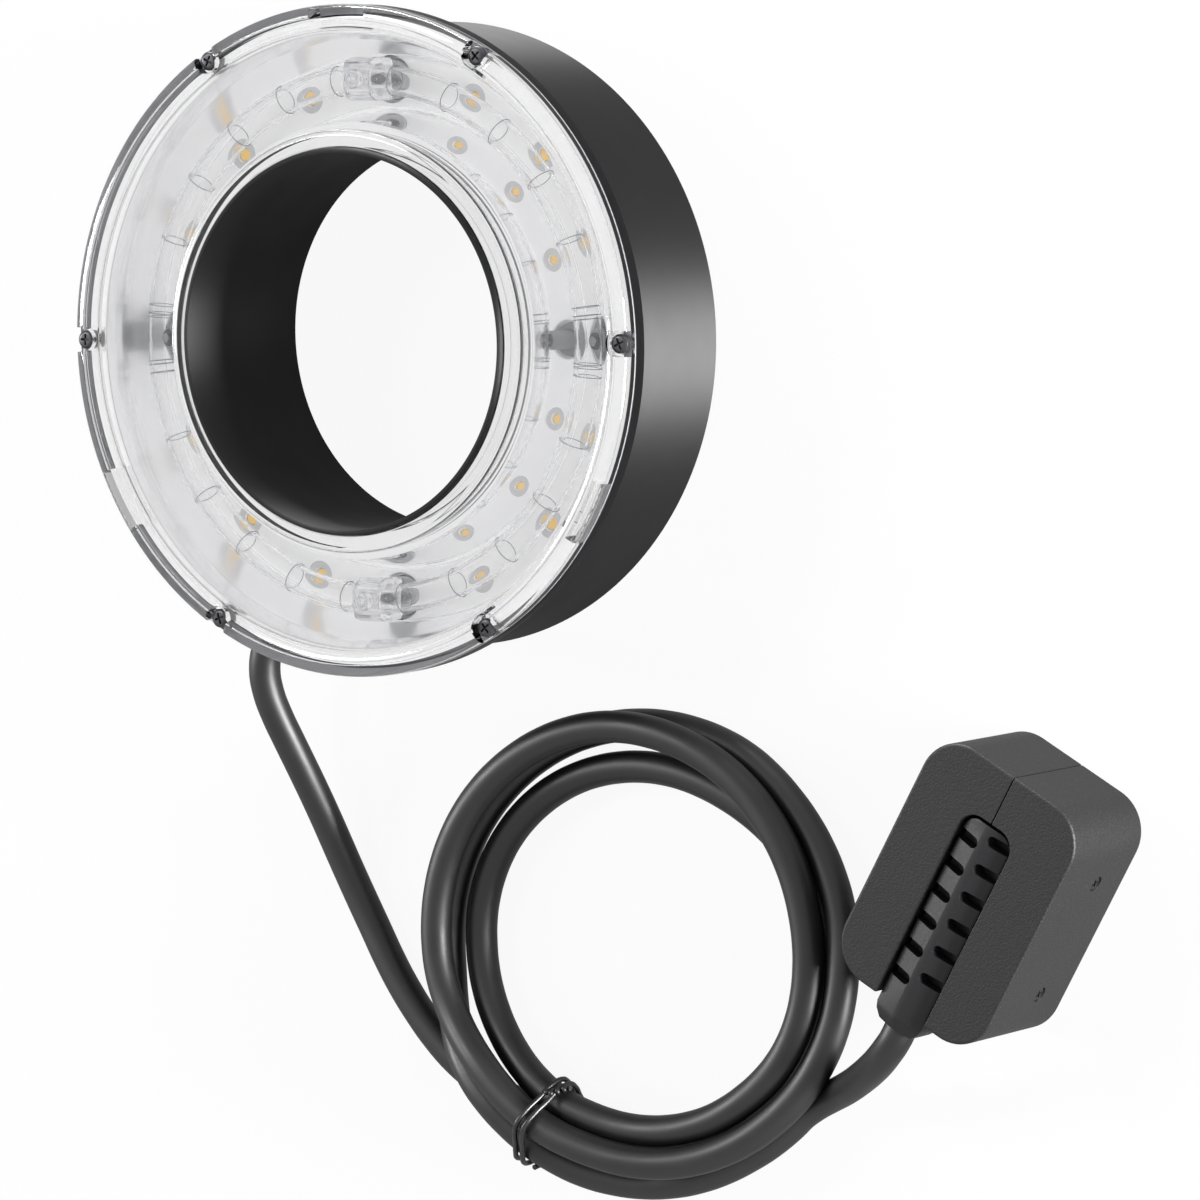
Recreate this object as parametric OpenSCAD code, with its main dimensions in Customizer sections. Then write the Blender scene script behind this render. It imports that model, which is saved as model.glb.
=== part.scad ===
// Ring flash head with a tied lead and a plug for a pocket flash.
// Frame: origin at the centre of the back face, +Z along the lens axis towards the glass, millimetres.

/* [Ring] */
// Outer diameter of the clear cover and of the front ring
ring_d = 190; // [184:1:200]
// Height from the back face to the front face of the clear cover
ring_h = 56; // [54:1:62]
// How far the metal housing stands inside the front ring's edge
body_inset = 5; // [4:0.25:6]
// Wall of the metal housing
body_wall = 2; // [1.5:0.1:2.2]
// Height of the black front ring's flange
front_ring_h = 5; // [4:0.5:6]
// Height of the clear cover
cover_h = 6; // [5.5:0.1:6.5]

/* [Lens opening] */
// Clear diameter of the sleeve at its front lip
bore_d = 106.4; // [104:0.2:107]
// Diameter of the sleeve's mouth at the back
bore_back_d = 111.6; // [109:0.2:112]
// Length of the straight part of the sleeve behind its lip
bore_len = 8; // [6:1:12]
// Wall of the sleeve
sleeve_wall = 1.6; // [1.2:0.1:1.8]
// How far the sleeve's lip stands in front of the cover
lip_rise = 1; // [0.4:0.1:2]

/* [Flash tube and lamps] */
// Outside diameter of the glass tube
tube_d = 8.5; // [7:0.1:9]
// Depth of the tube's centreline below the front face
tube_depth = 16; // [15:0.1:16.5]
// Depth of the reflector's floor below the front face
floor_depth = 28; // [27.5:0.1:28.5]
// Thickness of the reflector
reflector_t = 1; // [0.8:0.1:1.2]
// Diameter of the four service holes in the reflector's floor
service_hole_d = 14.3; // [13:0.1:15]
// Places round the circle: lamps fill all that the four holes leave free
stations = 16; // [16]
// Diameter of the shallow pocket round each lamp
lamp_pocket_d = 8.8; // [7:0.1:10]
// Number of trigger wire hoops round the tube
hoops = 24; // [24]
// Diameter of the trigger wire
wire_d = 0.5; // [0.4:0.05:0.6]

/* [Cover fastening] */
// Distance of the six cover screws from the ring's edge
cover_screw_inset = 3; // [2.8:0.1:3.5]
// Head diameter of the cover screws
screw_head_d = 5.5; // [5:0.1:5.8]
// Thread diameter of every M3 screw
screw_d = 3; // [2.5:0.1:3.2]
// Angle taken by each of the three accessory slots
slot_span = 11.6; // [8:0.1:14]
// Radial width of the accessory slots
slot_w = 2.8; // [2:0.1:3]

/* [Lead] */
// Outside diameter of the lead
cord_d = 9; // [8.8:0.1:9]
// Angle round the ring at which the lead leaves it
gland_angle = -120; // [-120]
// Height of the lead's exit above the back face
gland_z = 22; // [22]
// How far the strain relief stands out of the ring's edge
gland_reach = 5; // [5]
// Middle of the coil, along X
coil_x = 65; // [65]
// Middle of the coil, along Y
coil_y = -176; // [-176]
// Diameter of the tie round the coil
tie_d = 1.6; // [1.4:0.1:1.6]

/* [Plug] */
// Width of the plug, across its seam
plug_w = 52; // [51:0.5:54]
// Length of the plug, along the strain relief
plug_l = 75; // [74:0.5:78]
// Height of the plug from its mating face to its outer face
plug_h = 38; // [37:0.5:38]
// Wall of the plug's two shells
plug_wall = 2.2; // [1.8:0.1:2.4]
// Radius of the plug's upright corners
plug_corner_r = 12; // [9:0.5:13]
// Width of the channel that holds the strain relief
channel_w = 17.6; // [17:0.1:18]
// Distance from the plug's top edge to the channel
channel_top = 15; // [14:0.5:17]
// Place of the plug's middle, along X
plug_x = 187.5; // [187.5]
// Place of the plug's middle, along Y
plug_y = -149; // [-149]
// Turn of the plug about its own height
plug_turn = -29.6; // [-29.6]

/* [Hidden] */
$fn = 96;
fit = 0.2;
rest_gap = 0.3;
ring_r = ring_d / 2;
body_r = ring_r - body_inset;
body_in_r = body_r - body_wall;
cover_screw_r = ring_r - cover_screw_inset;
tube_z = ring_h - tube_depth;
floor_z = ring_h - floor_depth;
cover_z = ring_h - cover_h;
flange_z = cover_z - front_ring_h;

// Back of the ring
rear_t = 2.5;
rear_r = body_in_r - fit;
lip_t = 1.5;
lip_r = body_in_r - 4;
rear_screw_r = body_r - 10;
rear_screw_turn = 30;
sleeve_foot_t = 1.5;
sleeve_back_r = bore_back_d / 2 + sleeve_wall;
sleeve_front_r = bore_d / 2 + sleeve_wall;
sleeve_foot_r = sleeve_back_r + 2.6;
rear_bore_r = sleeve_back_r + rest_gap;
sleeve_seat_z = cover_z - 0.8;
sleeve_seat_r = sleeve_front_r + 2.7;
straight_z = ring_h + lip_rise - bore_len;

// Circle on which the tube, its posts and the lamps lie
tube_ring_r = (sleeve_front_r + ring_r) / 2 - 0.9;

// Reflector bowl, as points that run from its inner edge over the floor to its outer edge
bowl_flange_t = 0.8;
bowl_in_r = sleeve_front_r + fit;
bowl_out_r = body_r;
bowl_floor_in_r = tube_ring_r - 8;
bowl_floor_out_r = tube_ring_r + 6;
bowl_lip_in_r = sleeve_front_r + 4.7;
bowl_lip_out_r = body_r - 3;
bowl_wall_out_r = body_r - 4.6;
bowl_top_z = cover_z;
inner_steps = 7;
function inner_wall(t) = [
    bowl_lip_in_r + (bowl_floor_in_r - bowl_lip_in_r) * pow(sin(90 * t), 0.8),
    bowl_top_z - bowl_flange_t - (bowl_top_z - bowl_flange_t - floor_z) * pow(t, 1.1)];
function outer_wall(t) = [
    bowl_floor_out_r + (bowl_wall_out_r - bowl_floor_out_r) * pow(t, 0.45),
    floor_z + (flange_z - floor_z) * t];
bowl_path = concat(
    [for (i = [0 : inner_steps]) inner_wall(i / inner_steps)],
    [for (i = [0 : inner_steps]) outer_wall(i / inner_steps)],
    [[bowl_lip_out_r, bowl_top_z - bowl_flange_t]]);

// Chassis, lamp board and the parts below them
deck_t = 2;
board_t = 1.6;
lamp_t = 0.8;
board_z = floor_z - reflector_t - lamp_t - fit - board_t;
deck_z = board_z - deck_t;
deck_in_r = sleeve_front_r + 5.2;
chassis_wall_in_r = body_r - 5;
spigot_t = 0.9;
spigot_z = floor_z + 6;
boss_d = 7;
clamp_z = 13.5;
board_in_r = tube_ring_r - 7;
board_out_r = tube_ring_r + 7;

// Lamp package
lamp_w = 3.5;
lamp_l = 2.8;
lamp_hole_d = 4.2;
lamp_pocket_depth = 0.4;

// Tube stems, sleeves and clips
tube_wall = 1;
stem_d = 5;
stem_wall = 0.8;
stem_z = deck_z - 3;
grey_sleeve_d = 7;
sleeve_top_z = tube_z - tube_d / 2 - rest_gap;
bush_d = service_hole_d - 2.4;
bush_t = floor_z - board_z - 0.5;
post_d = 6.4;
post_neck_d = 5;
clip_l = 9;
clip_w = tube_d + 4;
clip_top_z = tube_z + tube_d / 2 + 1.6;
knob_d = 5.6;
knob_h = 1.9;

// Cover profile
window_t = 2.2;
window_drop = 0.6;
rim_in_r = body_r - 1.4;
window_out_r = body_r - 3.6;
inner_rim_r = sleeve_front_r + 3.6;
window_in_r = sleeve_front_r + 5.8;
rim_round = 1.6;
groove_r = body_r - 0.2;
groove_w = 0.8;
groove_depth = 0.8;
cover_seat_z = ring_h - 3.7;
notch_d = screw_head_d + 2.4;
slot_tab = 1.6;

// Gland and cord clamp
gland_neck_d = 12;
gland_flange_d = 15.5;
gland_flange_t = 2;
gland_tip_d = 11.6;
gland_r = ring_r + gland_reach;
gland_inner_r = body_r - 6;
core_d = 6.2;
core_inner_r = tube_ring_r - 8;
core_z = 18.6;

// Plug
plug_top_round = 1.2;
seam = 0.15;
shell_gap = seam / 2;
boot_gap = 0.9;
boot_w = channel_w - 2 * boot_gap;
boot_edge_drop = 1.8;
boot_depth = 15;
cord_z = plug_h - 7;
boot_end_y = -plug_l / 2 - 6.5;
boot_body_y = -plug_l / 2 - 2.2;
boot_top_y = plug_l / 2 - channel_top - boot_gap;
boot_collar_d = 12.4;
boot_slot_w = 3.1;
boot_slot_pitch = 8.8;
boot_slots = 6;
boot_slot_first_y = boot_top_y - 6.5;
boot_slot_stagger = 3.2;
boot_slot_depth = 4.5;
boot_slot_in = 1.7;
base_t = 3;
base_recess = 2.6;
pin_d = 3;
pin_rows = [-1, 1];
pin_cols = [-1, 0, 1];
pin_pitch = 9;
contact_l = 34;
contact_w = 22;
plug_screw_ys = [17, -19];
plug_screw_z = plug_h * 0.42;
plug_screw_d = 2.6;
plug_screw_head_d = 4.4;
plug_screw_l = plug_w / 2 + 14;

function polar(r, a, z) = [r * cos(a), r * sin(a), z];
function unit(v) = v / norm(v);
function plug_point(x, y, z) = [
    plug_x + x * cos(plug_turn) - y * sin(plug_turn),
    plug_y + x * sin(plug_turn) + y * cos(plug_turn), z];

// Coil: angle along the winding, distance from the middle and height, chosen by hand where strands cross
coil_stretch = [1.03, 0.97];
winding = [
    [-150, 72.4, 4.5], [-142, 68.4, 4.6], [-135, 64.8, 5.3], [-127, 60.7, 6.2], [-120, 57.4, 6.6],
    [-113, 54.8, 6.4], [-105, 53.4, 5.4], [-96, 53.2, 4.6], [-90, 53.4, 4.5], [-60, 54.9, 4.5],
    [-45, 55.6, 4.5], [-30, 57.7, 4.5], [0, 60.9, 4.5], [30, 58.6, 4.5], [60, 55.8, 4.5],
    [90, 55.2, 4.5], [120, 55, 4.5], [150, 54.8, 4.5], [180, 54, 4.5], [205, 52.6, 6.6],
    [225, 50.8, 10.4], [240, 49.7, 13.5], [247, 49.5, 14.4], [255, 49.6, 14.4], [264, 50.2, 14],
    [275, 51.1, 13.9], [285, 52, 14], [300, 53.5, 14], [315, 55, 14.1], [330, 56.9, 14.1],
    [345, 58.2, 14], [360, 59, 13.9], [375, 60.2, 14.1], [390, 61.9, 14.2], [405, 63.8, 14.3],
    [420, 65.6, 14.3], [450, 67.8, 14.4], [470, 67.4, 14.4], [495, 65.9, 14.3], [520, 64.1, 14.2],
    [535, 63, 14.3], [548, 61.8, 14.8], [558, 60.1, 15.8], [566, 58.3, 17.6], [575, 56.5, 19.5],
    [585, 55.9, 20.5], [600, 56.2, 21], [610, 56.5, 21], [620, 57.3, 20.4], [630, 58.7, 19.7],
    [645, 61.1, 18], [660, 63.1, 16.2], [675, 64.8, 14.8], [690, 66.5, 13.3], [705, 67.7, 12.2],
    [720, 68.2, 11], [735, 68.4, 8.9], [750, 68, 6.9], [765, 68, 5.6], [780, 68.5, 4.6],
    [795, 68.3, 4.5], [810, 67.6, 4.5], [855, 65.4, 4.5], [895, 64.8, 4.5], [908, 65.2, 4.6],
    [918, 65.8, 6.5], [926, 65.4, 10], [934, 64.8, 13.2], [944, 64.3, 15], [953, 64.6, 15],
    [962, 65.5, 13.9], [975, 67.6, 9.4], [989, 68.2, 5.2], [1005, 67.3, 4.5], [1020, 66.6, 4.5],
    [1035, 67, 4.5]];
coil_from = winding[0][0];
coil_to = winding[len(winding) - 1][0];
loop_rings = 24;
form_sides = 6;
function span_at(a, i = 0) = i >= len(winding) - 2 || a < winding[i + 1][0] ? i : span_at(a, i + 1);
function slope(i, k) =
    let (lo = max(i - 1, 0), hi = min(i + 1, len(winding) - 1))
    (winding[hi][k] - winding[lo][k]) / (winding[hi][0] - winding[lo][0]);
function eased(a, k) =
    let (i = span_at(a), step = winding[i + 1][0] - winding[i][0], t = (a - winding[i][0]) / step)
    (2 * t * t * t - 3 * t * t + 1) * winding[i][k]
    + (t * t * t - 2 * t * t + t) * step * slope(i, k)
    + (3 * t * t - 2 * t * t * t) * winding[i + 1][k]
    + (t * t * t - t * t) * step * slope(i + 1, k);
function coil_point(a) = [
    coil_x + coil_stretch[0] * eased(a, 1) * cos(a),
    coil_y + coil_stretch[1] * eased(a, 1) * sin(a), max(cord_d / 2, eased(a, 2))];
coil_steps = ceil((coil_to - coil_from) * loop_rings / 360);
coil_line = [for (i = [0 : coil_steps]) coil_point(coil_from + (coil_to - coil_from) * i / coil_steps)];
coil_in_dir = unit(coil_point(coil_from + 0.5) - coil_point(coil_from));
coil_out_dir = unit(coil_point(coil_to) - coil_point(coil_to - 0.5));
coil_in = coil_line[0] - cord_d * coil_in_dir;
coil_out = coil_line[coil_steps] + cord_d / 2 * coil_out_dir;
coil_path = concat([coil_in], coil_line, [coil_out]);

// Free stretches of the lead
gland_end = polar(gland_r, gland_angle, gland_z);
boot_end = plug_point(0, boot_end_y, cord_z);
boot_dir = unit(plug_point(0, 1, 0) - plug_point(0, 0, 0));
lead_points = [
    [-53.8, -97, 21.7], [-53.5, -104, 20.5], [-51.8, -111, 18.7], [-49.6, -118, 16.4],
    [-47.1, -126, 13.6], [-44.6, -134, 10.9], [-42, -142, 8.6], [-39.2, -150, 6.8],
    [-36, -158, 5.5], [-32.2, -166, 4.8], [-28, -174, 4.5], [-23.8, -182, 4.5],
    [-18.6, -190, 4.5], [-12.4, -198, 4.5]];
tail_points = [
    [122.3, -215.4, 4.9], [128, -212.6, 6.8], [133.9, -210, 9.9], [139.7, -207.3, 13.9],
    [145.2, -204.5, 18.2], [150.6, -201.5, 22.5], [155.6, -198.3, 26.3], [159.9, -194.9, 29.3]];
lead_path = concat(
    [gland_end, polar(gland_r + cord_d / 2, gland_angle, gland_z)], lead_points, [coil_in]);
tail_path = concat([coil_out], tail_points, [boot_end - cord_d / 2 * boot_dir, boot_end]);

// Least gap between two turns of the coil, measured on points a quarter of a ring apart
gap_steps = coil_steps * 4;
gap_line = [for (i = [0 : gap_steps]) coil_point(coil_from + (coil_to - coil_from) * i / gap_steps)];
gap_skip = 24;
least_gap = min([for (i = [0 : gap_steps - gap_skip]) for (j = [i + gap_skip : gap_steps])
    norm(gap_line[i] - gap_line[j])]) - cord_d;
function run(p, i = 0) = i >= len(p) - 1 ? 0 : norm(p[i + 1] - p[i]) + run(p, i + 1);
echo(least_gap_in_coil = least_gap, lead_length = run(lead_path), coil_length = run(coil_path),
    tail_length = run(tail_path));

// Tie round the strands of the coil
tie_angle = -118;
tie_turns = 2;
tie_pitch = 3;

// A band turned about the lens axis
module band(r_in, r_out, z_low, z_high) {
    rotate_extrude() translate([r_in, z_low]) square([r_out - r_in, z_high - z_low]);
}

module at_angle(r, a, z) {
    rotate([0, 0, a]) translate([r, 0, z]) children();
}

// Tube along a line of points with flat ends square to the first and last step. A line that lies in an
// upright plane names that plane's normal as its axis
function side_of(d, axis) = unit(cross(d, axis));
function tangent(p, i) =
    i == 0 ? unit(p[1] - p[0]) :
    i == len(p) - 1 ? unit(p[i] - p[i - 1]) :
    unit(unit(p[i + 1] - p[i]) + unit(p[i] - p[i - 1]));
function ring_at(p, i, r, sides, axis) =
    let (d = tangent(p, i), u = side_of(d, axis), v = cross(d, u))
    [for (k = [0 : sides - 1]) p[i] + r * (cos(360 * (k + 0.5) / sides) * u + sin(360 * (k + 0.5) / sides) * v)];
module swept_tube(p, d, sides, axis = [0, 0, 1]) {
    n = len(p);
    r = d / 2;
    points = [for (i = [0 : n - 1]) each ring_at(p, i, r, sides, axis)];
    walls = [for (i = [0 : n - 2]) for (k = [0 : sides - 1])
        let (a = i * sides + k, b = i * sides + (k + 1) % sides)
        each [[a, b, a + sides], [b, b + sides, a + sides]]];
    first = [for (k = [1 : sides - 2]) [0, k + 1, k]];
    last = [for (k = [1 : sides - 2]) [(n - 1) * sides, (n - 1) * sides + k, (n - 1) * sides + k + 1]];
    polyhedron(concat(points), concat(walls, first, last));
}

module cross_recess(d, depth) {
    for (a = [0, 90]) rotate([0, 0, a])
        translate([-d / 2, -d / 8, -depth]) cube([d, d / 4, depth + 1]);
}

// Screw with its head's seat at z = 0 and its thread below
module pan_screw(head_d, head_h, thread_d, thread_l) {
    difference() {
        union() {
            cylinder(d = head_d, h = head_h);
            translate([0, 0, -thread_l]) cylinder(d = thread_d, h = thread_l);
        }
        translate([0, 0, head_h]) cross_recess(head_d * 0.55, head_h * 0.6);
    }
}

module outer_housing() {
    color("#3a3a3c") difference() {
        union() {
            rotate_extrude() polygon([
                [body_in_r, 0], [body_r - 0.6, 0], [body_r, 0.6], [body_r, flange_z], [body_in_r, flange_z]]);
            band(lip_r, body_in_r, rear_t, rear_t + lip_t);
        }
        at_angle(body_in_r - 5, gland_angle, gland_z)
            rotate([0, 90, 0]) cylinder(d = gland_neck_d + fit, h = body_wall + 10);
    }
}

module front_ring() {
    color("#1b1b1c") difference() {
        union() {
            band(body_in_r + fit, ring_r, flange_z, cover_z);
            band(body_in_r - fit - spigot_t, body_in_r - fit, spigot_z, flange_z);
            band(body_in_r - fit - spigot_t, body_in_r + fit, flange_z, flange_z + 1);
        }
        band(body_in_r - 1, bowl_out_r + fit, cover_z - bowl_flange_t, cover_z + 1);
        for (k = [0 : 5]) at_angle(cover_screw_r, k * 60, cover_z - front_ring_h + 0.4)
            cylinder(d = screw_d, h = front_ring_h);
    }
}

module rear_cover() {
    color("#262627") difference() {
        band(rear_bore_r, rear_r, 0, rear_t);
        for (k = [0 : 5]) at_angle(rear_screw_r, rear_screw_turn + k * 60, 0) {
            translate([0, 0, -1]) cylinder(d = screw_d + 2 * fit, h = rear_t + 2);
            translate([0, 0, -1]) cylinder(d = screw_head_d + 2 * fit, h = 1 + 1.4);
        }
    }
}

module rear_screws() {
    color("#1c1c1d") for (k = [0 : 5])
        at_angle(rear_screw_r, rear_screw_turn + k * 60, 1.4) rotate([180, 0, 0])
            pan_screw(screw_head_d, 1.2, screw_d - 0.2, 9);
}

module inner_sleeve() {
    lip_z = ring_h + lip_rise;
    color("#232324") rotate_extrude() polygon([
        [bore_back_d / 2, 0], [sleeve_back_r, 0],
        [sleeve_back_r, rear_t], [sleeve_foot_r, rear_t], [sleeve_foot_r, rear_t + sleeve_foot_t],
        [sleeve_back_r - 0.1, rear_t + sleeve_foot_t],
        [sleeve_front_r + 0.1, sleeve_seat_z - 3],
        [sleeve_seat_r, sleeve_seat_z - 1.4], [sleeve_seat_r, sleeve_seat_z],
        [sleeve_front_r, sleeve_seat_z], [sleeve_front_r, lip_z - 0.4], [sleeve_front_r - 0.4, lip_z],
        [bore_d / 2, lip_z], [bore_d / 2, straight_z]]);
}

// Footprint of a screw notch: a round pocket open to the rim
module notch_outline(d) {
    circle(d = d);
    translate([0, -d / 2]) square([ring_r, d]);
}

module front_cover() {
    color([0.92, 0.94, 0.96, 0.35]) difference() {
        rotate_extrude() polygon([
            [sleeve_front_r + fit, cover_z], [inner_rim_r, cover_z], [window_in_r, ring_h - window_t - window_drop],
            [window_out_r, ring_h - window_t - window_drop], [rim_in_r, cover_z], [ring_r, cover_z],
            [ring_r, ring_h - rim_round], [ring_r - 0.5, ring_h - 0.5], [ring_r - rim_round, ring_h],
            [groove_r + groove_w, ring_h], [groove_r + groove_w, ring_h - groove_depth],
            [groove_r, ring_h - groove_depth], [groove_r, ring_h - 0.1], [groove_r - 1.2, ring_h - window_drop],
            [window_in_r - 0.8, ring_h - window_drop], [window_in_r - 1.4, ring_h],
            [sleeve_front_r + fit, ring_h]]);
        for (k = [0 : 5]) at_angle(cover_screw_r, k * 60, 0) {
            translate([0, 0, cover_seat_z]) linear_extrude(cover_h) notch_outline(notch_d);
            cylinder(d = screw_d + 2 * fit, h = ring_h);
        }
        for (k = [0 : 2]) rotate([0, 0, 90 + k * 120]) {
            arc_slot(cover_screw_r + 0.7, slot_w, slot_span, cover_z - 1, ring_h + 1);
            arc_slot(cover_screw_r + 0.7, slot_w / 3, slot_span + 2 * slot_tab, ring_h - 1.5, ring_h + 1);
        }
    }
}

// Slot along an arc, centred on +X
module arc_slot(r, w, span, z_low, z_high) {
    rotate([0, 0, -span / 2]) rotate_extrude(angle = span)
        translate([r - w / 2, z_low]) square([w, z_high - z_low]);
}

module cover_screws() {
    color("#141415") for (k = [0 : 5])
        at_angle(cover_screw_r, k * 60, cover_seat_z)
            pan_screw(screw_head_d, 2, screw_d - 0.2, cover_seat_z - flange_z - 0.6);
}

// Bowl wall of one thickness: the path and its copy below and outside it
function bowl_back(p) = [
    p[0] < bowl_floor_in_r - 0.01 ? p[0] - reflector_t : p[0] > bowl_floor_out_r + 0.01 ? p[0] + reflector_t : p[0],
    p[0] < bowl_floor_in_r - 0.01 || p[0] > bowl_floor_out_r + 0.01 ? p[1] : p[1] - reflector_t];
module reflector() {
    n = len(bowl_path);
    back = [for (i = [n - 1 : -1 : 0]) bowl_back(bowl_path[i])];
    color("#e4e5e8") difference() {
        union() {
            rotate_extrude() polygon(concat(bowl_path, back));
            band(bowl_in_r, bowl_lip_in_r, bowl_top_z - bowl_flange_t, bowl_top_z);
            band(bowl_lip_out_r, bowl_out_r, bowl_top_z - bowl_flange_t, bowl_top_z);
        }
        for (k = [0 : stations - 1]) at_angle(tube_ring_r, k * 360 / stations, floor_z)
            if (k % (stations / 4) == 0) {
                translate([0, 0, -5]) cylinder(d = service_hole_d, h = 10);
            } else {
                translate([0, 0, -5]) cylinder(d = lamp_hole_d, h = 10);
                translate([0, 0, -lamp_pocket_depth]) cylinder(d = lamp_pocket_d, h = 1);
            }
    }
}

// One closed glass ring with two stems that carry the electrodes
module flash_tube() {
    color([0.86, 0.9, 0.94, 0.35]) difference() {
        union() {
            rotate_extrude() translate([tube_ring_r, tube_z]) circle(d = tube_d);
            for (a = [0, 180]) at_angle(tube_ring_r, a, stem_z) cylinder(d = stem_d, h = tube_z - stem_z);
        }
        rotate_extrude() translate([tube_ring_r, tube_z]) circle(d = tube_d - 2 * tube_wall);
        for (a = [0, 180]) at_angle(tube_ring_r, a, stem_z - 1)
            cylinder(d = stem_d - 2 * stem_wall, h = tube_z - stem_z + 1);
    }
}

module electrodes() {
    color("#9a9ca0") for (a = [0, 180]) at_angle(tube_ring_r, a, 0) {
        translate([0, 0, stem_z - 5]) cylinder(d = 1.2, h = tube_z - 6 - stem_z + 5);
        translate([0, 0, stem_z]) cylinder(d = stem_d - 2 * stem_wall - 0.1, h = 2.5);
        translate([0, 0, tube_z - 6]) cylinder(d = 2.6, h = 4.5);
    }
}

module electrode_sleeves() {
    color("#9b9c9e") for (a = [0, 180]) at_angle(tube_ring_r, a, deck_z + deck_t) difference() {
        cylinder(d = grey_sleeve_d, h = sleeve_top_z - deck_z - deck_t);
        translate([0, 0, -1]) cylinder(d = stem_d + 0.1, h = sleeve_top_z);
    }
}

module trigger_wire() {
    hoop_r = tube_d / 2 + wire_d / 2 + 0.02;
    clear_a = 8;
    color("#b9bcc0") {
        for (k = [0 : hoops - 1]) at_angle(tube_ring_r, (k + 0.5) * 360 / hoops, tube_z)
            rotate([90, 0, 0]) rotate_extrude($fn = 32) translate([hoop_r, 0]) circle(d = wire_d, $fn = 6);
        for (q = [0 : 3]) rotate([0, 0, q * 90 + clear_a]) rotate_extrude(angle = 90 - 2 * clear_a)
            translate([tube_ring_r, tube_z - hoop_r - wire_d]) circle(d = wire_d, $fn = 6);
    }
}

// Clear saddle over the tube, on a post that stands in a service hole
module tube_clips() {
    color([0.88, 0.9, 0.93, 0.4]) for (a = [90, 270]) at_angle(tube_ring_r, a, 0) difference() {
        union() {
            translate([-clip_w / 2, -clip_l / 2, tube_z - tube_d / 2 - 1.6])
                cube([clip_w, clip_l, clip_top_z - tube_z + tube_d / 2 + 1.6]);
            translate([0, 0, deck_z + deck_t]) cylinder(d = post_d, h = tube_z - tube_d / 2 - deck_z - deck_t - 1);
        }
        translate([-tube_ring_r, 0, tube_z]) rotate_extrude() translate([tube_ring_r, 0])
            circle(d = tube_d + 2 * fit);
        translate([0, 0, floor_z + 2.5]) rotate_extrude()
            translate([post_neck_d / 2, 0]) square([post_d, 1.6]);
        translate([0, 0, clip_top_z - 1]) cylinder(d = 2.4, h = 2);
    }
}

module clip_screws() {
    color([0.85, 0.87, 0.9, 0.6]) for (a = [90, 270]) at_angle(tube_ring_r, a, clip_top_z) difference() {
        union() {
            cylinder(d = knob_d, h = knob_h);
            translate([0, 0, -0.9]) cylinder(d = 2.2, h = 1);
        }
        translate([0, 0, knob_h - 0.8]) cylinder(d = 2.4, h = 1);
    }
}

module floor_bushes() {
    color("#d9dadc") for (a = [0 : 90 : 270]) at_angle(tube_ring_r, a, board_z) difference() {
        cylinder(d = bush_d, h = bush_t);
        translate([0, 0, -1])
            cylinder(d = (a % 180 == 0 ? grey_sleeve_d : post_d) + 0.1, h = bush_t + 2);
    }
}

module lamp_board() {
    color("#f0f0ee") difference() {
        band(board_in_r, board_out_r, board_z, board_z + board_t);
        for (a = [0 : 90 : 270]) at_angle(tube_ring_r, a, board_z - 1)
            cylinder(d = bush_d + 2 * fit, h = board_t + 2);
    }
}

module lamps() {
    color("#f2c14e") for (k = [0 : stations - 1]) if (k % (stations / 4) != 0)
        at_angle(tube_ring_r, k * 360 / stations, board_z + board_t)
            translate([-lamp_w / 2, -lamp_l / 2, 0]) cube([lamp_w, lamp_l, lamp_t]);
}

module chassis() {
    color("#2b2b2d") difference() {
        union() {
            band(deck_in_r, body_in_r - fit, deck_z, deck_z + deck_t);
            band(chassis_wall_in_r, body_in_r - fit, deck_z, spigot_z);
            for (k = [0 : 5]) at_angle(rear_screw_r, rear_screw_turn + k * 60, rear_t)
                cylinder(d = boss_d, h = deck_z - rear_t + 1);
        }
        for (k = [0 : 5]) at_angle(rear_screw_r, rear_screw_turn + k * 60, 0)
            cylinder(d = screw_d, h = 12);
        for (a = [0, 180]) at_angle(tube_ring_r, a, 0) cylinder(d = stem_d + 2 * fit, h = ring_h);
        at_angle(chassis_wall_in_r - 10, gland_angle, gland_z)
            rotate([0, 90, 0]) cylinder(d = gland_flange_d + 2 * fit, h = 20);
    }
}

module trigger_board() {
    color("#1f5a38") at_angle(tube_ring_r - 2, 60, deck_z - board_t) translate([-9, -24, 0]) cube([18, 48, board_t]);
}

module trigger_transformer() {
    color("#2e3440") at_angle(tube_ring_r - 2, 60, deck_z - board_t - 13) translate([-7, -18, 0]) cube([14, 18, 13]);
}

module trigger_capacitor() {
    color("#8a3b24") at_angle(tube_ring_r - 2, 60, deck_z - board_t - 10) translate([-5, 6, 0]) cube([10, 13, 10]);
}

// Rubber strain relief through the housing wall, with the lead's bore in it
module cord_gland() {
    color("#161617") at_angle(0, gland_angle, gland_z) rotate([0, 90, 0]) rotate_extrude() polygon([
        [core_d / 2 + 0.1, gland_inner_r], [gland_tip_d / 2, gland_inner_r],
        [gland_neck_d / 2, body_in_r - 2.6], [gland_flange_d / 2, body_in_r - 2.4],
        [gland_flange_d / 2, body_in_r - 0.8], [gland_neck_d / 2, body_in_r - 0.6],
        [gland_neck_d / 2, body_r + 0.2], [gland_flange_d / 2, body_r + 0.2],
        [gland_flange_d / 2, body_r + gland_flange_t], [gland_tip_d / 2 + 0.4, body_r + gland_flange_t + 1],
        [gland_tip_d / 2, gland_r - 0.6], [gland_tip_d / 2 - 0.6, gland_r], [0, gland_r],
        [0, gland_r - 3], [core_d / 2 + 0.1, gland_r - 3]]);
}

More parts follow.
